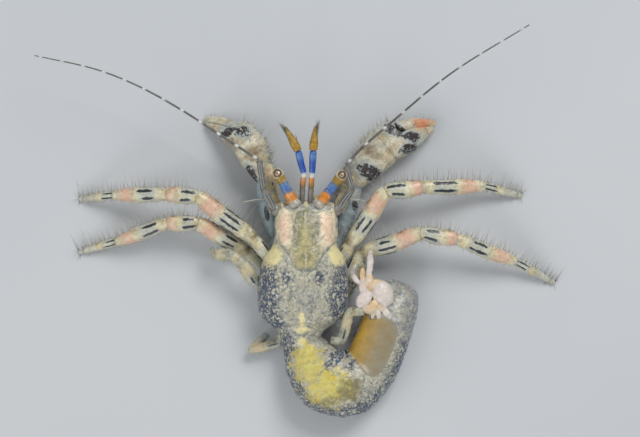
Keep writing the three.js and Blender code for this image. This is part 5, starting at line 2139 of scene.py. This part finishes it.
@dataclass
class Antenna:
    """A second antenna: two-article stalk with its scale, then the long banded feeler."""

    side: Side
    root: Triple
    peduncle: tuple[Triple, Triple]
    via: tuple[Triple, ...]
    band_spacing: float
    halves: Triple = (0.42, 0.36, 0.3)
    article: float = 0.3
    foot: float = 0.15
    tip: float = 0.05

    SOCKET = ((-0.35, 0.6, -0.15), (-0.1, -0.05, -0.05), (0.1, -0.6, 0.0))
    SPINES = ((0.5, -0.2, 0.6), (0.15, -0.4, 0.5), (-0.3, -0.25, 0.45), (-0.5, 0.1, 0.4),
              (0.55, 0.3, 0.45))  # place across, place ahead and length

    def build(self) -> None:
        """Builds the stalk with its setae, then the feeler."""
        plates = plates_along(self.root, {
            f"part_{index}": (*way, self.halves[index:index + 2])
            for index, way in enumerate(self.peduncle)}, self.side, 47, rows=SHORT_ROWS, depth=0.9)
        draft, setae = Draft(), Setae(46 + self.side.value)
        for index, plate in enumerate(plates):
            plate.marks = Marks((0.1, 0.9), 9, 18, (0.3, 0.6) if index else NOWHERE)
            plate.draw(draft, 36, setae, (index, 2))
        setae.piece(f"antenna_{self.side}_setae", Look.SETA, "antenna_base")
        self.add_scale(draft, plates[0].line)
        draft.piece(f"antenna_{self.side}_base", Look.STALK, "antenna_base",
                    (f"antenna_{self.side}",))
        self.add_feeler(plates[0].line)

    def add_scale(self, draft: Draft, base: Line) -> None:
        """Adds the long pointed scale beside the stalk, and its socket with spines.

        Args:
            draft: takes them.
            base: the stalk's middle.
        """
        out = self.side.value
        mirror = (out, 1, 1)
        root, way = base.spot(0.06)[0] + (0.28 * out, 0.0, 0.12), direction(-20 * out, 9)
        share = evenly(18)
        half = 0.2 * (1 - share**1.6) + 0.03
        bend, tip = way * 1.3 + (0.1 * out, 0, 0.05), way * 2.5 + (-0.12 * out, 0, 0.1)
        draft.bar(Line([root, root + bend, root + tip]), share, half, half * 0.8, 14,
                  fields={**BARE, "frost": 0.5})
        socket = base.at(-0.02)[0]
        pod(draft, socket + np.array(self.SOCKET) * mirror, (0.38, 0.52, 0.4), 0.8, {"pink": 0.3})
        for across, ahead, size in self.SPINES:
            cone(draft, socket + (across * out * 0.75, ahead, 0.12),
                 direction(-45 * across * out, 14), size, 0.11, {"frost": 0.8})

    def add_feeler(self, base: Line) -> None:
        """Adds the feeler: short articles, each a little swollen at its far end.

        Args:
            base: the stalk's middle.
        """
        end, way, _, _ = base.spot(1.0)
        line = Line([end + way * 0.12, *self.via])
        count = round(line.length / self.article)
        share = evenly(count * 5 + 1)
        run = line.run(share)
        half = self.foot + (self.tip - self.foot) * run**0.8
        half *= 0.93 + 0.13 * smooth(np.mod(np.arange(len(share)), 5) / 5, 0.1, 0.9)
        half[[0, -1]] = (0.06, 0.02)
        gap = np.mod(run * line.length + 0.6, self.band_spacing) - self.band_spacing / 2
        draft = Draft()
        draft.bar(line, share, half, half, 12, fields={
            **BARE, "frost": 1.2 - np.abs(gap) * 5,
            "dark": 0.6 * np.cos(gap * math.tau / self.band_spacing) - 0.85})
        draft.piece(f"antenna_lash_{self.side}_feeler", Look.FEELER, "feeler",
                    (f"antenna_lash_{self.side}",))
        setae = Setae(44 + self.side.value)
        for first, angles in ((1, (20, 150, 265)), (2, (85, 205, 325))):
            setae.along(line, np.arange(first, count, 2) / count, angles, self.side, 0.08, 0.25,
                        1, 1.7, 1.2, 0.1, 0.011)
        setae.piece(f"antenna_lash_{self.side}_setae", Look.SETA, "feeler")


@dataclass(frozen=True)
class Lobe:
    """A rounded lobe or small plate."""

    points: tuple[Triple, ...]
    halves: tuple[float, ...]
    pink: float = -2.0
    frost: float = 0.3
    thick: float = 0.8
    fringe: float = 0.0  # length of the hairs along its edges
    rasp: float = 0.0  # share of it where its scales start
    blunt: float = 4.0

    def add(self, draft: Draft, origin: Triple = (0.0, 0.0, 0.0), out: int = 1) -> Line:
        """Adds it from this origin, mirrored if out is -1, and returns its middle line."""
        return pod(draft, np.array(self.points) * (out, 1, 1) + origin, self.halves, self.thick,
                   {"pink": self.pink, "frost": self.frost}, self.blunt, 24, 30)


@dataclass
class Maxilliped:
    """An outer mouth limb under the head: two stout articles, stem, outer branch and palp."""

    side: Side
    root: Triple
    articles: tuple[Triple, Triple]
    halves: tuple[float, ...] = (0.55, 0.62, 0.5, 0.66, 0.36)

    ROWS = (TuftRow(182, 0.22, 2, 0.7, 0.014, 0.25, 0.2), TuftRow(150, 0.4, 2, 0.5, 0.014),
            TuftRow(215, 0.35, 2, 0.6, 0.014), TuftRow(20, 0.7, 2, 0.5, 0.014, sweep=0.5))
    MARKS = (Marks(pink=(-0.1, 0.3), olive=(Blob(0.55, 90, 0.3, 60),)),
             Marks(pink=(0.45, 0.85), frost=(-0.1, 0.12),
                   dark=(Blob(0.3, 70, 0.13, 9), Blob(0.52, 105, 0.16, 8))))
    # Stem, outer branch, last article and palp, from the root and for the left side.
    LOBES = (
        Lobe(((-1.95, 0.9, -2.25), (-0.78, -0.15, -1.5), (-0.1, -0.1, -0.25)),
             (0.5, 0.66, 0.55), 0.1),
        Lobe(((0.55, -0.1, 0.1), (0.72, -0.65, 0.18), (0.9, -1.2, 0.25)), (0.2, 0.17, 0.13),
             frost=0.8),
        Lobe(((0.75, -3.3, -0.15), (0.58, -3.22, -0.9), (0.4, -2.85, -1.65)),
             (0.36, 0.36, 0.28), 0.6),
        Lobe(((0.4, -2.85, -1.65), (0.05, -2.3, -2.0), (-0.3, -1.55, -2.05)), (0.28, 0.25, 0.13),
             frost=0.5),
    )
    LASH = ((0.9, -1.2, 0.25), (1.8, -1.15, 0.35), (3.2, -0.88, 0.15))

    def build(self) -> None:
        """Builds the limb and the bristles of its inner edge."""
        out = self.side.value
        plates = plates_along(self.root, {
            f"part_{index}": (*way, self.halves[2 * index:2 * index + 3])
            for index, way in enumerate(self.articles)}, self.side, 61, rows=self.ROWS, depth=0.8)
        plates[1].tip = True
        draft, setae = Draft(), Setae(60 - out)
        for index, plate in enumerate(plates):
            plate.marks = self.MARKS[index]
            plate.draw(draft, 36, setae, (index, 2))
        stem, _, last, palp = (lobe.add(draft, self.root, out) for lobe in self.LOBES)
        for line, start in ((stem, 0.2), (last, 0.1), (palp, 0.0)):
            setae.along(line, np.linspace(start, 1, 14), (-25, 15), self.side, 0.22, 0.75)
        draft = draft.fused(3, 0.02)
        for place in np.linspace(0.2, 0.84, 9):
            way = unit([-0.75 * out, -0.7, 0.15])
            cone(draft, stem.spot(place)[0] + way * 0.42, way, 0.2, 0.07, {"frost": 1.0})
        lash = Line(np.array(self.LASH) * (out, 1, 1) + self.root)
        whip(draft, lash, 0.1, 0.04, 15, {**BARE, "frost": 1.0})
        setae.along(lash, np.linspace(0.2, 1, 14), (200,), self.side, 0.0, 0.45)
        draft.piece(f"maxilliped_{self.side}_shell", Look.MOUTH, "maxilliped",
                    (f"maxilliped_{self.side}",))
        setae.piece(f"maxilliped_{self.side}_setae", Look.SETA, "maxilliped")


@dataclass
class Mouth:
    """The face under the eyes: rostral block, face plate, jaws and the inner mouth limbs."""

    MIDDLE = (
        Lobe(((0.0, -5.9, 5.0), (0.0, -6.4, 5.0), (0.0, -6.9, 4.85)), (0.26, 0.3, 0.2), frost=0.4),
        Lobe(((-1.7, -6.0, 3.2), (0.0, -6.4, 3.35), (1.7, -6.0, 3.2)), (0.34, 0.44, 0.34),
             frost=0.4),
        Lobe(((0.0, -6.2, 3.1), (0.0, -6.6, 2.75), (0.0, -6.45, 2.3)), (0.5, 0.55, 0.3), 0.4),
    )
    SIDES = (
        Lobe(((0.42, -5.8, 3.95), (0.42, -6.3, 4.0), (0.4, -6.8, 4.05)), (0.44, 0.46, 0.34),
             frost=0.4),
        Lobe(((1.5, -5.7, 3.6), (2.2, -6.15, 3.85), (2.9, -6.3, 4.1)), (0.5, 0.6, 0.5), 0.3, 0.2),
        Lobe(((1.0, -5.8, 2.8), (0.5, -6.35, 2.45), (0.08, -6.55, 2.2)), (0.42, 0.44, 0.24),
             frost=0.9),
        Lobe(((0.6, -5.4, 1.5), (0.58, -6.1, 2.0), (0.55, -6.75, 2.25)), (0.26, 0.28, 0.22), 0.3),
        Lobe(((1.0, -5.3, 1.3), (1.08, -6.2, 1.85), (1.15, -7.0, 2.2)), (0.31, 0.34, 0.26), 0.3),
        Lobe(((1.5, -5.3, 1.3), (1.68, -6.1, 1.9), (1.85, -6.9, 2.3)), (0.29, 0.31, 0.24), 0.3),
    )
    PALPS = (
        Lobe(((0.55, -6.65, 2.23), (0.38, -7.0, 1.78), (0.2, -6.95, 1.3)), (0.22, 0.23, 0.13)),
        Lobe(((1.15, -6.9, 2.18), (0.88, -7.3, 1.63), (0.6, -7.3, 1.05)), (0.26, 0.27, 0.16)),
        Lobe(((1.85, -6.8, 2.28), (1.68, -7.35, 1.9), (1.5, -7.5, 1.5)), (0.24, 0.25, 0.14)),
    )

    def build(self) -> None:
        """Builds the small mouth pieces as one, and their bristles."""
        draft, setae = Draft(), Setae(81)
        for lobe in self.MIDDLE:
            lobe.add(draft)
        for side in Side:
            for lobe in self.SIDES:
                lobe.add(draft, out=side.value)
            for lobe in self.PALPS:
                line = lobe.add(draft, out=side.value)
                setae.along(line, evenly(12), (-30, 20), side, lobe.halves[0] * 0.9, 0.65)
        draft.fused(3, 0.03).piece("mouth_parts", Look.MOUTH, "maxilliped")
        setae.piece("mouth_setae", Look.SETA, "maxilliped")


# ------------------------------------------------------------------ tail and swimming limbs
@dataclass
class TailFan:
    """The last somite, the telson and both uropods, the left one longer; heights from its level."""

    level: float = 4.0

    SCALES_PER_MM = 60
    RASP_END = 0.92
    LOBES = {
        "tail_somite": (
            Lobe(((-6.6, 2.7, -0.25), (-7.6, 2.35, 0.0), (-8.6, 2.0, -0.45)), (1.1, 1.4, 1.2),
                 0.1, 0.9, 0.5, blunt=2.6),
            Lobe(((-6.05, 2.1, -0.15), (-6.6, 1.4, 0.05), (-7.6, 1.1, -0.1)), (0.34, 0.4, 0.34),
                 0.9, -1.0, 0.6),
        ),
        "telson": (
            Lobe(((-5.6, 3.8, -0.2), (-6.5, 3.8, 0.0), (-7.4, 3.55, 0.0)), (0.4, 0.52, 0.5),
                 0.6, 0.2, 0.6),
            Lobe(((-6.5, 3.0, 0.05), (-6.85, 3.4, 0.1), (-7.1, 3.8, 0.0)), (0.5, 0.55, 0.45),
                 0.9, -1.0, 0.55),
            Lobe(((-7.1, 3.6, 0.0), (-7.2, 4.3, 0.05), (-7.22, 5.05, -0.15)), (0.26, 0.27, 0.2),
                 0.4, 0.5, 0.7, 0.6),
            Lobe(((-6.7, 3.6, -0.05), (-6.68, 4.2, -0.05), (-6.6, 4.85, -0.25)), (0.28, 0.28, 0.22),
                 0.3, 0.6, 0.7, 0.5),
        ),
        "uropod_right": (
            Lobe(((-7.1, 3.2, 0.05), (-7.5, 3.55, 0.1), (-7.8, 4.0, 0.05)), (0.5, 0.52, 0.4),
                 0.7, 0.1, 0.55),
            Lobe(((-7.6, 3.6, 0.0), (-8.0, 4.3, 0.05), (-8.4, 5.05, -0.15)), (0.32, 0.36, 0.25),
                 0.2, 0.8, 0.65, 0.6, 0.45),
        ),
        "uropod_left": (
            Lobe(((-5.1, 3.6, -0.35), (-5.75, 2.85, -0.05), (-6.4, 2.1, -0.1)), (0.5, 0.7, 0.6),
                 -1.0, 0.9, 0.6),
            Lobe(((-6.0, 2.5, -0.15), (-5.75, 1.5, -0.2), (-5.9, 0.8, -0.25)), (0.6, 0.55, 0.4),
                 0.2, 0.6, 0.55),
            Lobe(((-6.25, 1.9, -0.1), (-6.25, 1.0, -0.1), (-6.3, 0.1, -0.15)), (0.42, 0.42, 0.34),
                 0.8, 0.2, 0.65),
            Lobe(((-6.25, 0.6, -0.15), (-6.32, -0.3, -0.12), (-6.4, -1.2, -0.1),
                  (-6.42, -1.95, -0.1)),
                 (0.3, 0.34, 0.31, 0.22), -1.0, 0.8, 0.62, 0.5, 0.5, 8.0),
            Lobe(((-5.7, 1.6, -0.3), (-4.9, 0.9, -0.25), (-4.65, 0.2, -0.25), (-4.95, -0.65, -0.2)),
                 (0.3, 0.27, 0.23, 0.13), -1.0, 0.8, 0.7, 0.4, 0.5),
            Lobe(((-5.75, 1.3, -0.3), (-5.6, 0.5, -0.3), (-5.65, -0.3, -0.35)), (0.25, 0.27, 0.2),
                 0.9, 0.0, 0.65),
        ),
    }

    def rasp(self, draft: Draft, line: Line, lobe: Lobe) -> None:
        """Adds the pavement of horny scales by which the fan holds on.

        Args:
            draft: takes them.
            line: the lobe's middle.
            lobe: the lobe that they cover.
        """
        chance, half = random.Random(91), max(lobe.halves) * 0.8
        reach = (self.RASP_END - lobe.rasp) * line.length
        for _ in range(round(self.SCALES_PER_MM * reach)):
            point, along, side, top = line.spot(chance.uniform(lobe.rasp, self.RASP_END))
            across = chance.uniform(-0.9, 0.9)
            at = point + side * across * half + top * 0.75 * half * math.sqrt(1 - across**2)
            cone(draft, at - top * 0.05, top + side * across * 0.6 + along * 0.3, 0.1, 0.04,
                 {"frost": 1.0})

    def build(self) -> None:
        """Builds the four plates, each grown from its lobes, with its rasps and hairs."""
        for name, lobes in self.LOBES.items():
            draft, setae = Draft(), Setae(90 + len(name))
            lines = [lobe.add(draft, (0.0, 0.0, self.level)) for lobe in lobes]
            draft = draft.fused(4, 0.075)
            for line, lobe in zip(lines, lobes):
                if lobe.rasp:
                    self.rasp(draft, line, lobe)
                if lobe.fringe:
                    setae.along(line, np.linspace(0.3, 1, 14), (0, 180), Side.LEFT,
                                max(lobe.halves) * 0.75, lobe.fringe, 3, sweep=1.2)
            draft.piece(f"{name}_shell", Look.PALE, "tail_fan", (name,))
            if setae.hairs:
                setae.piece(f"{name}_setae", Look.SETA, "tail_fan")


@dataclass
class SwimmingLimbs:
    """The few small unpaired limbs on the abdomen's left side."""

    abdomen: Abdomen
    shares: Triple = (0.2, 0.34, 0.47)
    length: float = 0.95

    def build(self) -> None:
        """Builds each limb as a stem and two leaf-like branches with hairs."""
        draft, setae = Draft(), Setae(105)
        for share in self.shares:
            centre, along, side, _ = self.abdomen.line.spot(share)
            half = self.abdomen.half(np.array([share]))[0]
            root = centre + side * half * 0.78 - UP * half * 0.5
            out = unit(side * 0.75 - UP * 0.4 + along * 0.4) * self.length
            stem = root + out * 0.5
            pod(draft, [root - out * 0.3, (root + stem) / 2, stem], (0.15, 0.14, 0.12),
                rings=14, sides=14)
            for turn, reach in ((-1, 0.4), (1, 0.55)):
                way = unit(out + along * 0.9 * turn - UP * 0.1) * self.length * reach
                end = np.maximum(stem + way, (-99, -99, 0.12))
                leaf = pod(draft, [stem - way * 0.1, (stem + end) / 2, end], (0.1, 0.13, 0.07), 0.5,
                           rings=14, sides=14)
                setae.along(leaf, np.linspace(0.2, 1, 9), (0, 180), Side.LEFT, 0.05, 0.36,
                            sweep=1.4)
        draft.piece("swimming_limbs", Look.SHORT, "abdomen_skin")
        setae.piece("swimming_limb_setae", Look.SETA, "abdomen_skin")


# ------------------------------------------------------------------ the animal's own measures
WALKING_LEGS = (
    WalkingLeg("leg_2_right", Side.RIGHT, (-3.4, -0.9, 2.0), 1.0, 2, (
        (1.9, 31, 12), (6.6, 34.5, 15), (3.45, 82, -5), (6.74, 89, -18), (4.3, 104, -23))),
    WalkingLeg("leg_3_right", Side.RIGHT, (-3.9, 0.9, 1.5), 0.95, 3, (
        (3.0, 33, 8), (6.5, 71, 18), (3.56, 98, -6), (6.76, 111, -18), (4.85, 118, -17.5))),
    WalkingLeg("leg_2_left", Side.LEFT, (3.7, -1.2, 2.2), 0.97, 4, (
        (2.45, -38, 13), (7.15, -53.5, 12), (2.94, -84, -8), (5.92, -91, -22), (3.92, -96, -24))),
    WalkingLeg("leg_3_left", Side.LEFT, (3.9, 0.0, 1.1), 0.93, 5, (
        (2.65, -46, 5), (6.0, -60.5, 18), (2.91, -90, -4), (5.88, -109, -18), (4.12, -106, -15.5))),
)
SHORT_LEGS = (
    ShortLeg("leg_4_left", Side.LEFT, (3.7, 2.3, 2.6), 11, (
        (1.5, -55, 10, 0.5, 0.55, 0.5), (2.7, -34, 8, 0.5, 0.66, 0.55),
        (1.2, -49, -8, 0.5, 0.55, 0.5), (1.8, -90, -12, 0.5, 0.62, 0.45),
        (0.8, -30, -25, 0.35, 0.3, 0.25))),
    ShortLeg("leg_4_right", Side.RIGHT, (-3.4, 2.9, 1.7), 12, (
        (1.6, 40, 4, 0.5, 0.55, 0.5), (1.7, 20, 0, 0.5, 0.6, 0.5), (1.1, 48, -6, 0.45, 0.5, 0.4))),
    ShortLeg("leg_5_left", Side.LEFT, (2.1, 5.3, 1.9), 13, (
        (1.9, -168, -5, 0.4, 0.45, 0.42), (3.1, -106, -10, 0.4, 0.46, 0.42),
        (2.3, 44, -10, 0.4, 0.42, 0.3))),
    ShortLeg("leg_5_right", Side.RIGHT, (-2.45, 6.95, 2.95), 14, (
        (1.15, 96, 10, 0.4, 0.42, 0.42), (3.1, 14, 6, 0.44, 0.54, 0.42),
        (1.6, 90, 2, 0.42, 0.46, 0.3))),
)
CHELIPEDS = (
    Cheliped(Side.RIGHT, (-2.6, -1.9, 1.7), 0.86, 0.3, (0.7, 0.62, 0.3), 0.85, 7, {
        "ischium": (1.5, 28, 2, (0.55, 0.62, 0.6)), "merus": (5.5, 17, 5, (0.66, 0.95, 0.8)),
        "carpus": (4.75, (32, 41), 0, (0.78, 1.66, 2.0)),
        "palm": (5.65, (59, 76), -13, (1.95, 1.9, 0.4)),
    }, {
        "dark": (Blob(-6.4, -9.7, 1.75, 0.75, -28), Blob(-8.8, -14.0, 1.25, 0.65, -20),
                 Blob(-10.5, -13.3, 1.0, 0.5, -8), Blob(-10.4, -12.1, 1.05, 0.58, 12),
                 Blob(-4.9, -6.4, 0.35, 0.6, 20)),
        "olive": (Blob(-6.4, -11.9, 1.7, 0.9, -38),),
        "pink": (Blob(-11.6, -14.7, 1.6, 0.75, 8), Blob(-12.8, -13.6, 0.8, 0.6, 10),
                 Blob(-4.7, -7.6, 1.1, 0.7, 10)),
    }),
    Cheliped(Side.LEFT, (3.0, -1.9, 1.5), 0.9, 0.36, (0.5, 0.48, 0.26), 0.5, 8, {
        "ischium": (1.3, -8, 2, (0.5, 0.55, 0.5)), "merus": (5.9, -12, 5, (0.5, 0.86, 0.62)),
        "carpus": (4.1, (-16, -26), 1, (0.64, 1.46, 1.66)),
        "palm": (4.95, (-56, -72), -22, (1.62, 1.16, 0.34)),
    }, {
        "dark": (Blob(7.9, -13.7, 0.9, 0.42, 25), Blob(6.3, -13.8, 0.9, 0.6, -10),
                 Blob(5.4, -9.6, 0.45, 1.1, 25), Blob(3.9, -5.6, 0.3, 0.9, 10)),
        "olive": (Blob(5.2, -11.6, 1.2, 1.1), Blob(7.6, -12.5, 1.6, 0.8, 24)),
        "frost": (Blob(7.4, -14.6, 1.8, 0.4, 22),),
        "pink": (Blob(9.9, -13.5, 0.5, 0.4, 10),),
    }),
)
HEAD = (
    Eye(Side.LEFT, (0.95, -6.3, 4.8), -29, 3.85),
    Eye(Side.RIGHT, (-1.1, -6.3, 4.8), 38, 4.05),
    Antennule(Side.LEFT, (0.4, -6.3, 4.05), (2, 5, -14), (2.7, -28, 8)),
    Antennule(Side.RIGHT, (-0.35, -6.3, 4.05), (5, 4, 3), (2.4, 5, 8)),
    Antenna(Side.LEFT, (3.1, -6.0, 4.25), ((2.3, -27, 8), (2.9, -10, 6)), (
        (7.0, -12.45, 5.3), (12.4, -15.95, 5.9), (16.7, -18.3, 6.1), (20.8, -19.9, 6.2),
        (26.8, -21.25, 6.1)), 2.15),
    Antenna(Side.RIGHT, (-3.2, -6.0, 4.3), ((2.5, 32, 8), (2.3, -13, 8)), (
        (-5.3, -11.9, 5.2), (-8.4, -14.6, 5.8), (-14.3, -19.45, 6.7), (-22.05, -24.25, 7.5)), 2.4),
    Maxilliped(Side.LEFT, (3.0, -5.9, 3.25), ((1.9, -14, 4), (2.9, -4, 5))),
    Maxilliped(Side.RIGHT, (-3.1, -5.9, 3.3), ((2.0, 26, 4), (1.9, 12, 5))),
    Mouth(),
)


# ------------------------------------------------------------------ studio
@dataclass(frozen=True)
class Studio:
    """A plain table seen from straight above in soft light."""

    view_width: float = 64.0
    middle: tuple[float, float] = (-1.4, -5.15)
    distance: float = 500.0
    sensor: float = 36.0
    floor_half: float = 3000.0

    def build(self) -> None:
        """Adds the floor, the lights, the air and the camera."""
        mesh = bpy.data.meshes.new("table_top")
        reach = self.floor_half * MM
        corners = [(-reach, -reach, 0), (reach, -reach, 0), (reach, reach, 0), (-reach, reach, 0)]
        mesh.from_pydata(corners, [], [(0, 1, 2, 3)])
        mesh.materials.append(Look.FLOOR.material)
        self.place("table_top", mesh)
        self.lamp("key", (-160, -260, 330), 190.0, 1.15)
        self.lamp("fill", (300, 120, 300), 320.0, 0.5)
        self.lamp("rim", (60, 380, 220), 160.0, 0.35)
        world = bpy.data.worlds.new("studio_air")
        world.use_nodes = True
        air = world.node_tree.nodes["Background"]
        air.inputs["Color"].default_value = (0.86, 0.9, 0.94, 1.0)
        air.inputs["Strength"].default_value = 0.42
        bpy.context.scene.world = world
        camera = bpy.data.cameras.new("camera")
        camera.sensor_width = self.sensor
        camera.lens = self.sensor * self.distance / self.view_width
        camera.clip_start = 0.01
        holder = self.place("camera", camera, (*self.middle, self.distance))
        holder.rotation_euler = (0.0, 0.0, math.pi)
        bpy.context.scene.camera = holder
        bpy.context.scene.view_settings.view_transform = "Standard"

    def place(self, name: str, data: bpy.types.ID, at: Triple = (0.0, 0.0, 0.0)
              ) -> bpy.types.Object:
        """Adds an object to the scene.

        Args:
            name: its name.
            data: what it shows.
            at: its place in millimetres.

        Returns:
            The new object.
        """
        made = bpy.data.objects.new(name, data)
        made.location = Vector(at) * MM
        bpy.context.scene.collection.objects.link(made)
        return made

    def lamp(self, name: str, at: Triple, size: float, power: float) -> None:
        """Adds a soft square light that faces the animal.

        Args:
            name: its name.
            at: its place in millimetres.
            size: its width in millimetres.
            power: its power in watts.
        """
        light = bpy.data.lights.new(name, "AREA")
        light.size, light.energy = size * MM, power
        turn = (-Vector(at)).to_track_quat("-Z", "Y").to_euler()
        self.place(name, light, at).rotation_euler = turn


def main() -> None:
    """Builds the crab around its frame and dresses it."""
    logging.basicConfig(level=logging.INFO, format="%(message)s")
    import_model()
    trunk, abdomen = Trunk(), Abdomen()
    shield = Shield(trunk)
    Skin(trunk, abdomen).build(shield)
    for piece in (shield, *HEAD, *CHELIPEDS, *WALKING_LEGS, *SHORT_LEGS, TailFan(),
                  SwimmingLimbs(abdomen)):
        piece.build()
    Studio().build()


if __name__ == "__main__":
    main()
